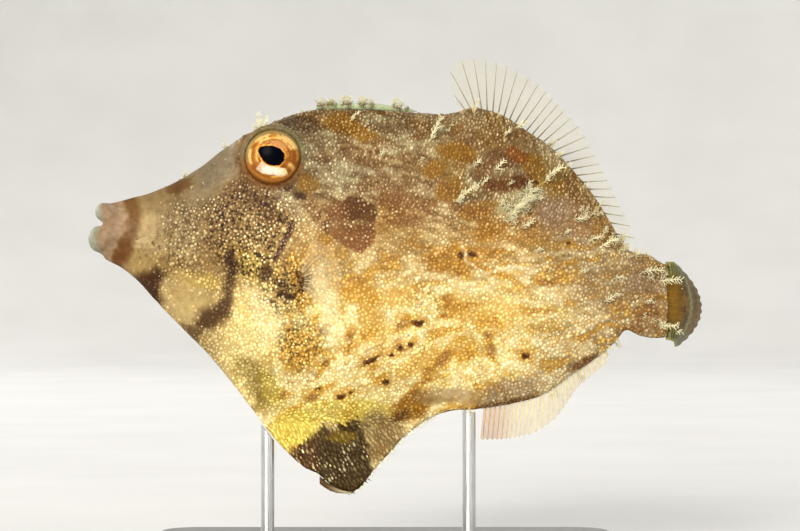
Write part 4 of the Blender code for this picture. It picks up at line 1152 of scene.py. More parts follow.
SMALL_THREADS = (
    (-12.6, 68.4, 60, 0.9), (-29.0, 57.0, 70, 0.8), (-3.0, 66.8, 50, 1.1), (4.9, 61.3, 45, 1.1),
    (18.0, 57.6, 45, 1.4), (16.9, 68.0, 70, 1.0), (26.5, 50.4, 45, 1.5), (37.4, 47.6, 70, 1.0),
    (39.0, 47.3, 60, 0.9), (21.0, 55.0, 40, 2.4), (20.0, 51.5, 35, 2.6), (30.4, 49.6, 30, 2.6),
    (14.0, 57.8, 30, 2.0), (27.0, 60.4, 45, 1.2), (29.6, 57.4, 40, 1.2), (12.5, 24.8, -60, 1.1),
    (25.0, 27.6, -50, 1.2), (28.5, 30.4, -40, 1.2), (34.6, 35.0, -40, 1.0), (35.4, 50.2, 50, 1.2),
    (24.8, 64.2, 50, 1.3), (22.0, 48.0, 30, 1.6), (28.6, 45.0, 20, 1.8), (34.0, 44.0, 15, 2.0),
    (38.8, 40.5, 5, 1.6),
)
# Lichen-like masses of threads: place, reach along and across, tilt, number, thread length.
THREAD_MASSES = (
    (19.6, 55.0, 3.3, 1.3, 38, 44, 1.35), (34.0, 49.4, 2.4, 0.8, -22, 24, 1.3),
    (30.2, 53.4, 1.2, 0.6, 20, 9, 1.2), (8.6, 66.0, 0.8, 1.6, -20, 4, 1.4), (40.0, 43.9, 1.8, 0.5, 0, 5, 1.1),
    (40.0, 37.4, 1.6, 0.5, 0, 5, 1.1), (36.6, 47.2, 1.4, 0.3, -10, 4, 1.0),
)
THREAD_HALF = 0.085
THREAD_STEPS = 8


def tube(points, radii, sides=5):
    """A tapering tube with a pointed end, as corners and triangles."""
    points, radii = np.asarray(points, float), np.asarray(radii, float)
    ahead = unit(np.gradient(points, axis=0))
    helper = (0.0, 1.0, 0.0) if abs(ahead[0][1]) < 0.8 else (1.0, 0.0, 0.0)
    across = unit(np.cross(ahead, helper))
    rings = elliptic_rings(points, across, np.cross(ahead, across), radii, radii, sides)
    return closed_roll(rings[:-1], points[0], points[-1])


def turned(vector, axis, angle):
    return np.array(Matrix.Rotation(angle, 3, Vector(axis)) @ Vector(vector))


def heading(degrees, side=0.0):
    """Direction that rises by so many degrees in the side view."""
    return np.array((cos(radians(degrees)), side, sin(radians(degrees))))


def thread_tuft(root, out, along, length, draw, half=THREAD_HALF):
    """A branched skin thread: bent stem, twigs all round it and blunt buds on them."""
    lift, lie = unit(along * 0.62 + out * 0.6), unit(along * 0.94 + out * 0.24)
    points = [root - out * 0.3]
    for k in range(THREAD_STEPS):
        part = k / (THREAD_STEPS - 1)
        way = unit(lift * (1 - part) + lie * part + draw.normal(0.0, 0.18, 3))
        points.append(points[-1] + way * (length + 0.3) / THREAD_STEPS)
    points = np.array(points)
    parts = [tube(points, half * np.linspace(1.0, 0.55, len(points)))]
    twigs = max(5, int(length / 0.19))
    for k in range(twigs):
        place = 0.12 + 0.88 * (k + 0.5) / twigs
        spot = place * (len(points) - 1)
        low = min(int(spot), len(points) - 2)
        foot = points[low] + (points[low + 1] - points[low]) * (spot - low)
        side = 1 if k % 2 else -1
        aim = unit(turned(along, out, side * radians(draw.uniform(30, 85))) + out * draw.uniform(-0.1, 0.9))
        reach = draw.uniform(0.35, 1.15) * min(1.0, 0.45 + 0.16 * length) * (1.05 - 0.35 * place)
        bend = unit(aim + along * 0.6 + draw.normal(0.0, 0.25, 3))
        knee = foot + aim * reach * 0.55
        parts.append(tube([foot - aim * 0.04, knee, knee + bend * reach * 0.45],
                          half * np.array([0.62, 0.58, 0.42]), 4))
        for _ in range(2):
            bud = unit(draw.normal(0.0, 0.6, 3) + aim * 0.7 + out * 0.4)
            start = knee if draw.random() < 0.5 else knee + bend * reach * 0.3
            size = draw.uniform(0.14, 0.30)
            parts.append(tube([start, start + bud * size * 0.7, start + bud * size],
                              half * np.array([0.55, 0.55, 0.38]), 4))
    return parts


def flank_place(x, z, side):
    """Root and outward direction of a thread on one flank."""
    z = min(z, float(back(x)) - 0.15)
    slope_x = float(half_width(x + 0.3, z) - half_width(x - 0.3, z)) / 0.6
    slope_z = float(half_width(x, z + 0.3) - half_width(x, z - 0.3)) / 0.6
    root = np.array((x, float(middle(x)) + side * (float(half_width(x, z)) - COAT_DEPTH), z))
    return root, unit(np.array((-slope_x, side, -slope_z)))


def thread_piece(name, tufts):
    """One piece from tufts, each a root and its tubes."""
    corners, triangles = joined([part for _, tuft in tufts for part in tuft])
    roots = np.concatenate([np.tile(root, (sum(len(part[0]) for part in tuft), 1)) for root, tuft in tufts])
    mesh = mesh_of(name, corners, triangles)
    far = np.linalg.norm(corners - roots, axis=1)
    tint = colour("#dcd4aa") * (1.0 + 0.35 * cloud(corners, 0.5, 61))[:, None]
    foot = linear(pigment(roots) * 0.6 + paint("#c4b888") * 0.4)
    colour_mesh(mesh, np.clip(blend_to(foot, tint, fade(far, 0.2, 1.1)), 0, 1))
    map_tufts(mesh, roots, (corners - roots)[:, [0, 2]] / max(1.0, float(far.max())))
    add_piece(mesh, coat_material(name), "spine")


def flank_tuft(x, z, side, rise, length, draw, half=THREAD_HALF):
    """A tuft on one flank, with its root."""
    root, out = flank_place(x, z, side)
    return root, thread_tuft(root, out, heading(rise), length, draw, half)


def make_threads():
    draw = np.random.default_rng(23)
    for side, flank in ((-1, "near"), (1, "far")):
        tufts = []
        for x, z, rise, length in HEAD_THREADS + TRUNK_THREADS + STALK_THREADS + SMALL_THREADS:
            if side > 0:
                x += draw.uniform(-0.8, 0.8)
                z -= draw.uniform(0.0, 0.8)
                rise += draw.uniform(-14, 14)
            tufts.append(flank_tuft(x, z, side, rise, length * draw.uniform(0.85, 1.0), draw,
                                    THREAD_HALF + 0.008 * length))
        for x, z, long, wide, tilt, number, length in THREAD_MASSES:
            turn = radians(tilt)
            for _ in range(number):
                s, w = draw.uniform(-1, 1) * long, draw.uniform(-1, 1) * wide
                spot = (x + s * cos(turn) - w * sin(turn), z + s * sin(turn) + w * cos(turn))
                rise = 40 + draw.uniform(-65, 65)
                tufts.append(flank_tuft(*spot, side, rise, length * draw.uniform(0.6, 1.1), draw))
        thread_piece(f"skin_threads_{flank}", tufts)


# Eyes.
IRIS_CENTRE = (-0.15, 0.45)
IRIS_RADII = (3.80, 3.35)
SIGHT_SHIFT = (0.26, -0.22)
PUPIL = (
    (-2.42, 1.08), (-2.20, 1.66), (-1.4, 1.90), (-0.15, 1.90), (0.92, 1.48), (1.50, 0.70), (1.44, -0.34),
    (0.79, -0.94), (-0.02, -1.08), (-0.92, -0.82), (-1.56, -0.34), (-2.10, 0.43),
)
# Outline of the painted white reflection below the pupil.
PAINTED_GLEAM = (
    (-2.78, -1.45), (-1.88, -0.45), (-1.4, -0.83), (-0.77, -1.07), (0.35, -1.2), (1.6, -1.45), (1.85, -1.95),
    (1.91, -2.57), (1.1, -2.76), (0.1, -2.45), (-1.03, -2.33), (-1.9, -2.07),
)
EYE_GRID = ((96, 200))


def layered(tint, *layers):
    """A colour under layers of others, each with its amount."""
    for shade, amount in layers:
        tint = blend_to(tint, paint(shade), amount)
    return tint


def iris_colour(px, pz):
    """Golden iris with swirled rings, a painted highlight along its upper arc, a painted white reflection
    below the pupil and red-brown sectors behind it.
    """
    px, pz = px - SIGHT_SHIFT[0], pz - SIGHT_SHIFT[1]
    level = np.zeros(len(px))
    flat = np.stack([px, level, pz], axis=1)
    dx, dz = (px - IRIS_CENTRE[0]) / IRIS_RADII[0], (pz - IRIS_CENTRE[1]) / IRIS_RADII[1]
    share, turn = np.hypot(dx, dz), np.degrees(np.arctan2(dz, dx))
    clouds, fine = cloud(flat, 1.3, 73), cloud(flat, 0.45, 76)
    arcs = cloud(np.stack([share * 14.0, level, turn / 38.0], axis=1), 1.0, 71)
    deep, light = "#6e3010", "#f4cf80"

    def sector(middle_turn, half_turn):
        away = np.abs((turn + 9.0 * clouds - middle_turn + 180.0) % 360.0 - 180.0)
        return fade(away, half_turn + 6.0, -12)

    # Painted light in the iris: a highlight along its upper arc and a white reflection below the pupil.
    painted_sheen = smooth(0.72 + 0.9 * clouds + 0.9 * fine + 0.8 * arcs)
    right = np.maximum(sector(-4, 25), sector(-52, 14)) * fade(share, 0.38, 0.06)
    left = sector(183, 24)
    painted_gleam = inside(px + 0.16 * fine, pz + 0.16 * clouds, PAINTED_GLEAM, 0.10)
    tint = layered(
        paint("#c07428"),
        ("#e2a548", smooth(0.5 + 1.3 * arcs)),
        (deep, 0.85 * smooth(0.45 - 1.8 * arcs) * fade(share, 0.35, 0.1) * 0.75),
        (light, 0.90 * painted_sheen * sector(75, 62) * fade(share + 0.10 * clouds, 0.70, 0.06)),
        (light, 0.75 * sector(112, 18) * smooth(0.4 + 1.5 * fine)),
        ("#cf9264", 0.75 * sector(66, 30) * fade(share, 0.74, -0.08)),
        (deep, 0.95 * right * smooth(0.95 - 0.9 * arcs)),
        ("#d98c3c", 0.55 * right * fade(arcs, 0.15, 0.2)),
        (light, 0.70 * sector(-34, 7) * fade(share, 0.62, 0.1)),
        (light, 0.85 * left * fade(share, 0.84, 0.05)),
        (deep, 0.65 * left * bell(share - 0.76, 0.05)),
        (light, 0.75 * left * bell(share - 0.66, 0.04)),
        (deep, 0.55 * sector(222, 18) * fade(share, 0.55, 0.1)),
        ("#d8bca0", painted_gleam),
        ("#fff4de", painted_gleam * smooth(0.5 + 1.1 * clouds + 0.8 * fine) * fade(px, -2.3, 0.8)),
        ("#ffe9a8", 0.7 * painted_gleam * fade(px, 0.6, 0.8)),
    )
    lower = fade(pz, 0.6, -2)
    rim = layered(
        paint("#8f8256"),
        ("#a5642a", lower),
        ("#d9a03c", 0.8 * lower * smooth(0.9 - np.abs(px + 0.3) / 2.4) * smooth(0.5 + clouds)),
        ("#6e3c1c", 0.5 * fade(share, 1.08, 0.08)),
    )
    return linear(0.88 * blend_to(tint, rim, fade(share, 0.965, 0.06)))


def make_eye(name, side, node_name):
    """A wet eye: domed iris with a slightly raised, tilted pupil."""
    rings, around = EYE_GRID
    share = np.linspace(0.0, 1.0, rings)[1:, None]
    radius = EYE_RADIUS * (1.0 - (1.0 - share) ** 1.25)
    turn = 2 * pi * np.arange(around) / around
    px, pz = (np.append(radius * way, 0.0) for way in (np.cos(turn), np.sin(turn)))
    gone = np.hypot(px, pz)
    inner = inside(px - SIGHT_SHIFT[0], pz - SIGHT_SHIFT[1], PUPIL, 0.25)
    pupil = fade(inner, 0.40, 0.2)
    dome = EYE_DEPTH * np.sqrt(np.clip(1.0 - (gone / EYE_RADIUS) ** 2, 0.0, 1.0))
    dome -= 0.10 * bell(0.25 - 0.5 * inner, 0.10)
    dome += 0.015 * np.sin(gone * 11.0) * (1 - pupil)
    points = np.stack([EYE_PLACE[0] + px, side * (EYE_OUT + dome - 0.05), EYE_PLACE[1] + pz], axis=1)
    tint = blend_to(iris_colour(px, pz), colour("#c8903c"), 0.7 * bell(inner - 0.12, 0.10))
    tint = blend_to(tint, colour("#020308"), pupil)
    shine = 0.12 * (1 - pupil)
    rear = EYE_RADIUS * 0.98
    rim = np.stack([EYE_PLACE[0] + rear * np.cos(turn), np.full(around, side * (EYE_OUT - 0.8)),
                    EYE_PLACE[1] + rear * np.sin(turn)], axis=1)
    ring_points = np.concatenate([points[:-1], rim]).reshape(rings, around, 3)
    centre = (EYE_PLACE[0], side * (EYE_OUT - 1.0), EYE_PLACE[1])
    mesh = turned_outwards(mesh_of(name, *closed_roll(ring_points, points[-1], centre)))
    behind = colour("#7a4a1c")
    colour_mesh(mesh, np.concatenate([tint[:-1], [behind] * around, tint[-1:], [behind]]))
    number_mesh(mesh, "shine", np.concatenate([shine[:-1], np.zeros(around), shine[-1:], [0.0]]))
    add_piece(mesh, eye_material(), "eye", node_name)


# Fins.
DORSAL_RAYS, ANAL_RAYS, TAIL_RAYS, PECTORAL_RAYS = 28, 26, 12, 11
RAY_STEP = 6
RAY_SIDES = 6
SHARP_TURN = 40


def ray_steps(rays, fineness=1):
    """Places along the base of a fin, the same number from each ray to the next."""
    return np.linspace(0.0, 1.0, rays * RAY_STEP * fineness + 1)


def scallop(t, rays, depth):
    """Share of its reach that a fin has between and at its rays."""
    return 1.0 - depth + depth * np.cos(2 * pi * t * rays + pi)


def sheet_mesh(name, grid, half, tint):
    """A thin closed sheet over a grid of points."""
    lift = unit(np.cross(np.gradient(grid, axis=0), np.gradient(grid, axis=1))) * half
    corners, faces = slab(grid + lift, grid - lift)
    mesh = turned_outwards(mesh_of(name, corners, np.concatenate(faces)))
    colour_mesh(mesh, np.concatenate([tint, tint[:, ::-1]], axis=1).reshape(-1, 3))
    return mesh


def fin_pieces(name, grid, tint, ray_tint, rays, alpha, slot, node_name, ray_half, web_half=0.07,
               ray_alpha=1.0):
    """A clear membrane with its rays; the grid runs along the base, then out to the edge."""
    web = sheet_mesh(name, grid, web_half, tint)
    add_piece(web, membrane_material(name + "_web", alpha), slot, node_name)
    web.set_sharp_from_angle(angle=radians(SHARP_TURN))
    step = (len(grid) - 1) // rays
    radii = ray_half * np.linspace(1.0, 0.35, grid.shape[1])
    tubes = [tube(line, radii, RAY_SIDES) for line in grid[step // 2::step]]
    mesh = mesh_of(name + "_rays", *joined(tubes))
    tints = []
    for line in ray_tint[step // 2::step]:
        tints += [np.repeat(line[:-1], RAY_SIDES, axis=0), line[:1], line[-1:]]
    colour_mesh(mesh, np.concatenate(tints))
    add_piece(mesh, membrane_material(name + "_ray", ray_alpha), slot)


EDGE_ROWS = 16
EDGE_PART = np.linspace(0.0, 1.0, EDGE_ROWS)
DORSAL_BASE = (11.6, 35.2)
ANAL_BASE = (14.8, 33.6)


def edge_grid(line, base, t, rays, length, lean, upward):
    """Grid of a fin on the back or the belly; length and lean belong to the places t along its base."""
    x = base[0] + (base[1] - base[0]) * t
    slope, level = (line(x + 0.4) - line(x - 0.4)) / 0.8, np.zeros(len(t))
    out = unit(np.stack([-slope, level, np.ones(len(t))], axis=1)) * upward
    root = np.stack([x, middle(x), line(x)], axis=1) - out * 0.25
    angle = lean * upward
    ray = np.stack([out[:, 0] * np.cos(angle) + out[:, 2] * np.sin(angle), level,
                    -out[:, 0] * np.sin(angle) + out[:, 2] * np.cos(angle)], axis=1)
    reach = (length + GAP) * scallop(t, rays, 0.025)
    wave = 0.35 * np.sin(9.0 * t + (0.0 if upward > 0 else 1.2))
    grid = root[:, None, :] + ray[:, None, :] * (reach[:, None] * EDGE_PART)[..., None]
    grid[..., 1] += wave[:, None] * EDGE_PART ** 2
    return grid


def make_dorsal_fin():
    t = ray_steps(DORSAL_RAYS)
    length = 7.4 * smooth(0.25 + t * 9.0) * (1.0 - 0.62 * fade(t, 0.1, 0.9))
    grid = edge_grid(back, DORSAL_BASE, t, DORSAL_RAYS, length, np.radians(-22 + 62 * smooth(t * 1.1)), 1)
    t = t[:, None]
    brown = colour("#4c3620")
    dark = bell(t - 0.66, 0.05) * fade(EDGE_PART, 0.75, -0.5)
    feet = fade(EDGE_PART, 0.55, -0.5) * fade(t, 0.05, 0.2)
    fin_pieces("soft_dorsal", grid, blend_to(colour("#b3ab8a"), brown, 0.5 * dark),
               blend_to(colour("#8e8566"), brown, np.maximum(0.9 * dark, 0.75 * feet)), DORSAL_RAYS, 0.13,
               "clear_fin", "soft_dorsal_fin", 0.10)


def make_anal_fin():
    t = ray_steps(ANAL_RAYS)
    length = (4.6 + 0.8 * np.sin(pi * np.minimum(1.0, t * 1.3))) * (1.0 - 0.55 * fade(t, 0.35, 0.65))
    grid = edge_grid(keel, ANAL_BASE, t, ANAL_RAYS, length, np.radians(-14 - 30 * smooth(t)), -1)
    orange = colour("#a9702c")
    front = fade(t, 0.30, -0.2)[:, None] * (0.65 + 0.35 * EDGE_PART)
    fin_pieces("anal", grid, blend_to(colour("#c4b48c"), orange, 0.85 * front),
               blend_to(colour("#dccb98"), orange, 0.8 * front), ANAL_RAYS, 0.28, "clear_fin", "anal_fin",
               0.12)


TAIL_LENGTH, TAIL_FAN, TAIL_DROOP, TAIL_OVERHANG = 16.2, 3.0, -4.6, 0.35
TAIL_FAR_TURN, TAIL_CUP_TURN = 74.5, 9.0
TAIL_TURN_EASE, TAIL_CUP_EASE = 2.9, 0.6
TAIL_ROWS, TAIL_STEPS = 46, 6
TAIL_PART = np.linspace(0.0, 1.0, TAIL_ROWS)


def tail_heading(s, edge):
    """Angle of the tail fin's turn at a distance from its root; its edges cup round further."""
    first = atan2(2 * TAIL_TURN * (STALK_END - TAIL_TURN_START), 1.0)
    last = np.radians(TAIL_FAR_TURN + TAIL_CUP_TURN * edge)
    return last - (last - first) * np.exp(-s / (TAIL_TURN_EASE * (1.0 - TAIL_CUP_EASE * edge)))


def tail_grid(t):
    """Grid of the tail fin over the places t along its root, then out to its edge."""
    edge = (2 * t - 1) ** 2
    slope = np.sin(np.radians(TAIL_DROOP + TAIL_FAN * (2 * t - 1)))
    low, top = float(keel(STALK_END)) - TAIL_OVERHANG, float(back(STALK_END)) + TAIL_OVERHANG
    reach = 0.62 + 0.38 * np.maximum(0.0, np.sin(pi * t)) ** 0.6
    reach *= TAIL_LENGTH * scallop(t, TAIL_RAYS, 0.012)
    point = np.stack([np.full(len(t), STALK_END - 0.2), np.full(len(t), float(middle(STALK_END))),
                      low + (top - low) * t], axis=1)
    lines, gone = [point], np.zeros(len(t))
    for share in TAIL_PART[1:]:
        step = (reach * share - gone) / TAIL_STEPS
        for _ in range(TAIL_STEPS):
            turn = tail_heading(gone + step / 2, edge)
            point = point + np.stack([np.cos(turn), np.sin(turn), slope], axis=1) * step[:, None]
            gone = gone + step
        lines.append(point)
    grid = np.stack(lines, axis=1)
    ripple = 0.096 * np.cos(2 * pi * t * TAIL_RAYS)
    grid[..., 0] -= ripple[:, None] * TAIL_PART * (1 - 0.3 * TAIL_PART)
    return grid


def make_tail_fin():
    t = ray_steps(TAIL_RAYS, 2)
    grid = tail_grid(t)

    def patches(size, seed):
        return cloud(grid.reshape(-1, 3), size, seed).reshape(grid.shape[:2])

    place = TAIL_PART + 0.05 * patches(3.0, 81)
    pale, brown, gold = colour("#8e9058"), colour("#281a08"), colour("#7c5818")
    off_middle = np.abs(2 * t - 1)[:, None]
    tint = blend_to(colour("#64501a"), gold, 0.85 * fade(off_middle, 0.62, -0.3) * fade(place, 0.5, -0.1))
    tint = blend_to(tint, brown, 0.65 * smooth(0.5 + 1.4 * patches(1.1, 83)) * fade(place, 0.1, 0.2))
    for centre, width, amount in ((0.50, 0.06, 0.8), (0.92, 0.05, 0.3)):
        tint = blend_to(tint, pale, amount * bell(place - centre, width) * fade(off_middle, 1.02, -0.1))
    tint = blend_to(tint, gold, 0.6 * smooth(0.5 + 1.6 * patches(2.0, 85)) * fade(place, 0.55, 0.1))
    rim = fade(off_middle, 0.62, 0.12)
    tint = blend_to(tint, pale, 0.7 * rim)
    strokes = smooth(0.5 + 1.2 * np.sin(2 * pi * place * 15.0)) * rim * fade(off_middle, 0.97, -0.05)
    tint = blend_to(tint, brown, 0.9 * strokes)
    fin_pieces("caudal", grid, tint, tint * 0.85 + colour("#8a7434") * 0.15, TAIL_RAYS, 0.94, "tail_fin",
               "caudal_fin", 0.15, 0.08)


PECTORAL_ROOT = (-12.4, 43.9)
PECTORAL_ROOT_HALF = 1.35


def make_pectoral_fin(side_name, side):
    t, part = ray_steps(PECTORAL_RAYS)[:, None], EDGE_PART
    fan_turn = np.radians(-38 + 108 * t)
    x, z = PECTORAL_ROOT[0] - 0.25 * (t - 0.5), PECTORAL_ROOT[1] + PECTORAL_ROOT_HALF * (2 * t - 1)
    reach = (5.2 + 1.2 * np.sin(pi * t)) * scallop(t, PECTORAL_RAYS, 0.035) * part
    away = half_width(x, z) + 0.1 + (0.34 + 0.5 * part) * part * 2.6 + 0.5 * smooth(part * 3.0)
    grid = np.stack([x + np.cos(fan_turn) * reach, side * away, z + np.sin(fan_turn) * reach], axis=-1)
    streak = bell(part - 0.15, 0.12) * (np.sin(t * 40.0) > 0.2)
    tint = np.broadcast_to(colour("#d9c79c"), grid.shape)
    ray_tint = blend_to(colour("#d9bf88"), colour("#6c421c"), 0.7 * streak)
    fin_pieces(f"pectoral_{side_name}", grid, tint, ray_tint, PECTORAL_RAYS, 0.10, "clear_fin",
               f"pectoral_fin_{side_name}", 0.08, 0.04, 0.55)


# The folded spine, the pelvic scale and the prickles.
SPINE_START, SPINE_END = -10.3, 4.8
SPINE_HALF = 0.58
SPINE_SINK = 0.42
SPINE_STEPS, SPINE_SIDES = 60, 18
NAPE_HEIGHT = 69.0
SPINE_BANDS = (-9.3, -5.3, -1.9, 2.4)
# Tufts of the spine: place along it, rise in the side view in degrees, length.
SPINE_TUFTS = (
    (-9.9, 95, 1.4), (-9.5, 60, 1.6), (-9.0, 40, 1.3), (-8.4, 60, 1.5), (-8.0, 30, 1.2),
    (-6.4, 62, 2.0), (-6.0, 50, 1.8), (-3.9, 58, 2.1), (-3.4, 66, 1.9), (-2.0, 70, 1.4),
    (1.2, 66, 2.0), (1.8, 45, 1.9), (2.8, 30, 1.3),
)
TUFT_STEMS = 3
BARBS, BARB_START, BARB_STEP = 14, -8.0, 0.85


def straight_roll(x, heights, half, sides):
    """A round roll that runs from head to tail in the middle of the fish, with its path."""
    path = np.stack([x, np.zeros(len(x)), heights], axis=1)
    across, up = np.array([(0.0, 1.0, 0.0)]), np.array([(0.0, 0.0, 1.0)])
    return closed_roll(elliptic_rings(path, across, up, half, half, sides), path[0], path[-1]), path


def spine_half(t):
    return SPINE_HALF * (0.65 + 0.35 * smooth(5.0 * t)) * (1.0 - 0.6 * fade(t, 0.55, 0.45))


def spine_share(x):
    return (x - SPINE_START) / (SPINE_END - SPINE_START)


def spine_height(x):
    """Height of the folded spine's middle over a place along it."""
    return np.maximum(back(x), NAPE_HEIGHT) + GAP + spine_half(spine_share(x)) - SPINE_SINK


def spine_colours(corners):
    """Colours of the folded spine without its tufts and barbs."""
    x, z = corners[:, 0], corners[:, 2]
    tint = blend_to(colour("#9aa27e"), colour("#b6c6b0"), fade(z, 69.9, 0.7))
    tint = tint * (0.92 + 0.16 * cloud(corners, 1.2, 91))[:, None]
    for place in SPINE_BANDS:
        tint = blend_to(tint, colour("#5d4426"), 0.8 * bell(x - place - 0.25 * (z - 70.0), 0.4))
    return tint


def make_spine():
    t = np.linspace(0.0, 1.0, SPINE_STEPS)
    x = SPINE_START + (SPINE_END - SPINE_START) * t
    half = spine_half(t) * (0.94 + 0.04 * np.sin(x * 9.0)) * (1.0 - 0.6 * fade(t, 0.84, 0.16))
    roll, _ = straight_roll(x, spine_height(x), half, SPINE_SIDES)
    parts, tints = [roll], [spine_colours(roll[0])]
    draw = np.random.default_rng(41)
    for x0, rise, length in SPINE_TUFTS:
        thick, height = float(spine_half(spine_share(x0))), float(spine_height(x0))
        for k in range(TUFT_STEMS):
            side = 1 if k % 2 else -1
            along = heading(rise + draw.uniform(-20, 20), 0.15 * side)
            root = np.array((x0 + draw.uniform(-0.2, 0.2), side * thick * 0.8,
                             height - thick * draw.uniform(0.0, 0.6)))
            out = unit(np.array((0.0, side, 0.35)))
            tuft = thread_tuft(root, out, along, length * draw.uniform(0.7, 1.0), draw)
            parts += tuft
            # Painted shade and light: each tuft is brown near the spine and cream higher up, as shadow below
            # and light above.
            tints += [blend_to(colour("#7c6c44"), colour("#d2ca9e"), fade(corners[:, 2], height, 1.2))
                      for corners, _ in tuft]
    for k in range(BARBS):
        x0 = BARB_START + BARB_STEP * k
        for side in (-1, 1):
            foot = np.array((x0, side * float(spine_half(spine_share(x0))) * 0.9, float(spine_height(x0))))
            aim = np.array((-0.5, side * 0.3, 0.05))
            barb = tube([foot, foot + aim * 0.4, foot + aim * 0.7], [0.09, 0.06, 0.03])
            parts.append(barb)
            tints.append([colour("#94986e")] * len(barb[0]))
    mesh = turned_outwards(mesh_of("dorsal_spine_skin", *joined(parts)))
    colour_mesh(mesh, np.clip(np.concatenate(tints), 0, 1))
    add_piece(mesh, coat_material("spine_skin", 0.3, 0.5), "spine", "dorsal_spine")


RUDIMENT_START, RUDIMENT_END, RUDIMENT_HALF = -9.8, -5.0, 0.65
RUDIMENT_STEPS, RUDIMENT_SIDES, RUDIMENT_SPINES = 24, 14, 40


def make_pelvic_scale():
    """The spiny scale that ends the pelvic bone, with its rows of small spines."""
    t = np.linspace(0.0, 1.0, RUDIMENT_STEPS)
    x = RUDIMENT_START + (RUDIMENT_END - RUDIMENT_START) * t
    half = RUDIMENT_HALF * (1.0 - 0.55 * t)
    low = np.min([keel(x + d) for d in (-0.6, -0.3, 0.0, 0.3, 0.6)], axis=0)
    roll, path = straight_roll(x, low + 0.5 - half, half * 0.9, RUDIMENT_SIDES)
    parts = [roll]
    draw = np.random.default_rng(77)
    for _ in range(RUDIMENT_SPINES):
        spot = draw.integers(2, RUDIMENT_STEPS)
        turn = draw.uniform(0, 2 * pi)
        out = np.array((0.0, cos(turn), sin(turn)))
        foot = path[spot] + out * half[spot] * 0.8
        aim = out * 0.45 + np.array((0.85, 0.0, -0.1))
        parts.append(tube([foot, foot + aim * 0.25, foot + aim * draw.uniform(0.4, 0.7)],
                          [0.10, 0.08, 0.03], 4))
    corners, triangles = joined(parts)
    mesh = turned_outwards(mesh_of("pelvic_scale", corners, triangles))
    colour_mesh(mesh, blend_to(colour("#5a4222"), colour("#d8c99a"), fade(corners[:, 0], -9, 4) * 0.8))
    add_piece(mesh, coat_material("pelvic_skin", 0.4, 0.65), "pelvic_scale", "pelvic_rudiment")


PRICKLES, PRICKLES_START, PRICKLES_LONG = 90, -5.6, 13.0


def make_prickles():
    """Pale and dark prickles along the flap's free margin."""
    draw = np.random.default_rng(99)
    parts, tints, roots = [], [], []
    for k in range(PRICKLES):
        x = PRICKLES_START + PRICKLES_LONG * (k + draw.uniform(0, 1)) / PRICKLES
        out = unit(np.array((float(keel(x + 0.5) - keel(x - 0.5)), 0.0, -1.0)))
        foot = np.array((x, draw.uniform(-0.35, 0.35), float(keel(x)) + 0.25))
        aim = unit(out + np.array((0.35, draw.uniform(-0.5, 0.5), -0.15)))
        length = draw.uniform(0.4, 0.95)
        knee, bend = foot + aim * length * 0.55, aim + draw.normal(0.0, 0.2, 3)
        prickle = tube([foot - aim * 0.2, knee, knee + bend * length * 0.4], [0.085, 0.06, 0.025])
        pale = draw.random() < 0.85 or x > -1.0
        parts.append(prickle)
        tints += [colour("#efe6c4" if pale else "#2b1a0c")] * len(prickle[0])
        roots += [foot] * len(prickle[0])
    corners, triangles = joined(parts)
    roots = np.array(roots)
    mesh = mesh_of("flap_prickles", corners, triangles)
    colour_mesh(mesh, tints)
    map_tufts(mesh, roots, (corners - roots)[:, [0, 2]] / 1.5)
    add_piece(mesh, coat_material("prickle_skin"), "flap_skin")


# Stand, stage, lights and camera.
def dress_stand():
    lacquer, steel = base_material(), rod_material()
    for name, material in (("stand_base", lacquer), ("stand_rod_front", steel), ("stand_rod_rear", steel)):
        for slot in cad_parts[name].material_slots:
            slot.material = material


STAGE_RADIUS, STAGE_CURVE, STAGE_WALL = 0.95, 0.45, 1.5
STAGE_SIDES, STAGE_STEPS = 96, 12


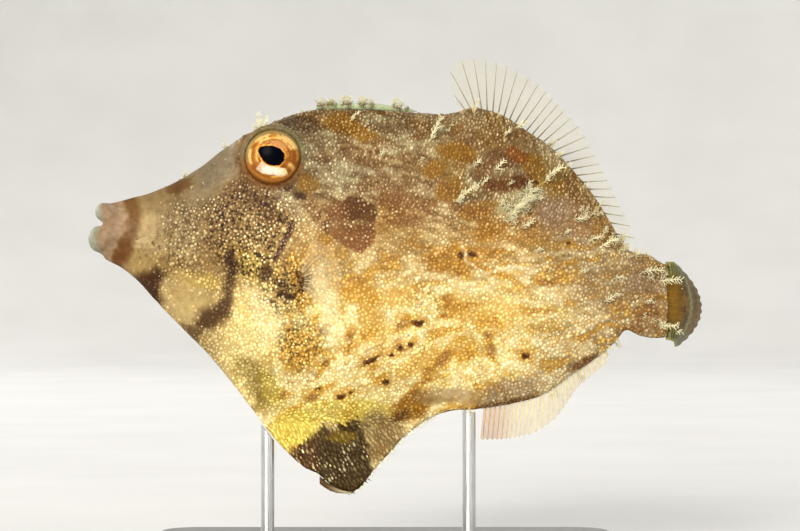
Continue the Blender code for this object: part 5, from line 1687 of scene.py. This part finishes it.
def make_stage():
    """A pale floor that curves up all round into a wall."""
    profile = [(STAGE_RADIUS * 0.5, 0.0), (STAGE_RADIUS, 0.0)]
    for k in range(1, STAGE_STEPS + 1):
        turn = radians(90 * k / STAGE_STEPS)
        profile.append((STAGE_RADIUS + STAGE_CURVE * sin(turn), STAGE_CURVE * (1 - cos(turn))))
    profile.append((STAGE_RADIUS + STAGE_CURVE, STAGE_WALL))
    ring = np.arange(STAGE_SIDES)
    turn = 2 * pi * ring / STAGE_SIDES
    rings = [np.stack([r * np.cos(turn), r * np.sin(turn), np.full(STAGE_SIDES, z)], axis=1)
             for r, z in profile]
    faces = np.concatenate([fan(1 + ring, 0), 1 + halves(ring_quads(len(rings), STAGE_SIDES))])
    mesh = turned_outwards(mesh_of("floor", np.concatenate([np.zeros((1, 3))] + rings) / MM, faces))
    mesh.shade_smooth()
    mesh.materials.append(stage_material())
    add_object("floor", mesh)


AIM = Vector((0.00225, 0.0, 0.04598))
CAMERA_DISTANCE = 0.45
FRAME_WIDTH = 0.120
SENSOR = 36.0


def make_camera():
    data = bpy.data.cameras.new("camera")
    data.sensor_width = SENSOR
    data.lens = SENSOR * CAMERA_DISTANCE / FRAME_WIDTH
    data.clip_start = 0.01
    camera = add_object("camera", data)
    camera.location = AIM + Vector((0.0, -CAMERA_DISTANCE, 0.0))
    camera.rotation_euler = (radians(90), 0.0, 0.0)
    bpy.context.scene.camera = camera


def add_light(name, place, size, power, tint=(1.0, 1.0, 1.0)):
    data = bpy.data.lights.new(name, "AREA")
    data.shape = "DISK"
    data.size = size
    data.energy = power
    data.color = tint
    light = add_object(name, data)
    light.location = place
    light.rotation_euler = (Vector(place) - AIM).to_track_quat("Z", "Y").to_euler()


def light_studio():
    add_light("key", (-0.38, -1.05, 0.46), 0.50, 17.5, (1.0, 0.985, 0.95))
    add_light("fill", (0.80, -0.80, 0.20), 0.60, 3.6, (1.0, 0.98, 0.95))
    add_light("rim", (0.35, 0.80, 0.95), 0.50, 6.0)
    add_light("far_fill", (-0.75, 0.75, 0.40), 0.60, 6.0)
    world = bpy.data.worlds.new("studio")
    world.use_nodes = True
    background = world.node_tree.nodes["Background"]
    background.inputs["Color"].default_value = (0.95, 0.97, 1.0, 1.0)
    background.inputs["Strength"].default_value = 0.28
    bpy.context.scene.world = world
    bpy.context.scene.view_settings.view_transform = "Standard"


def main():
    make_granules(make_skin())
    make_threads()
    make_eye("eye_near", -1, "eye_left")
    make_eye("eye_far", 1, "eye_right")
    make_dorsal_fin()
    make_anal_fin()
    make_tail_fin()
    make_pectoral_fin("left", -1)
    make_pectoral_fin("right", 1)
    make_spine()
    make_pelvic_scale()
    make_prickles()
    dress_stand()
    make_stage()
    make_camera()
    light_studio()


main()
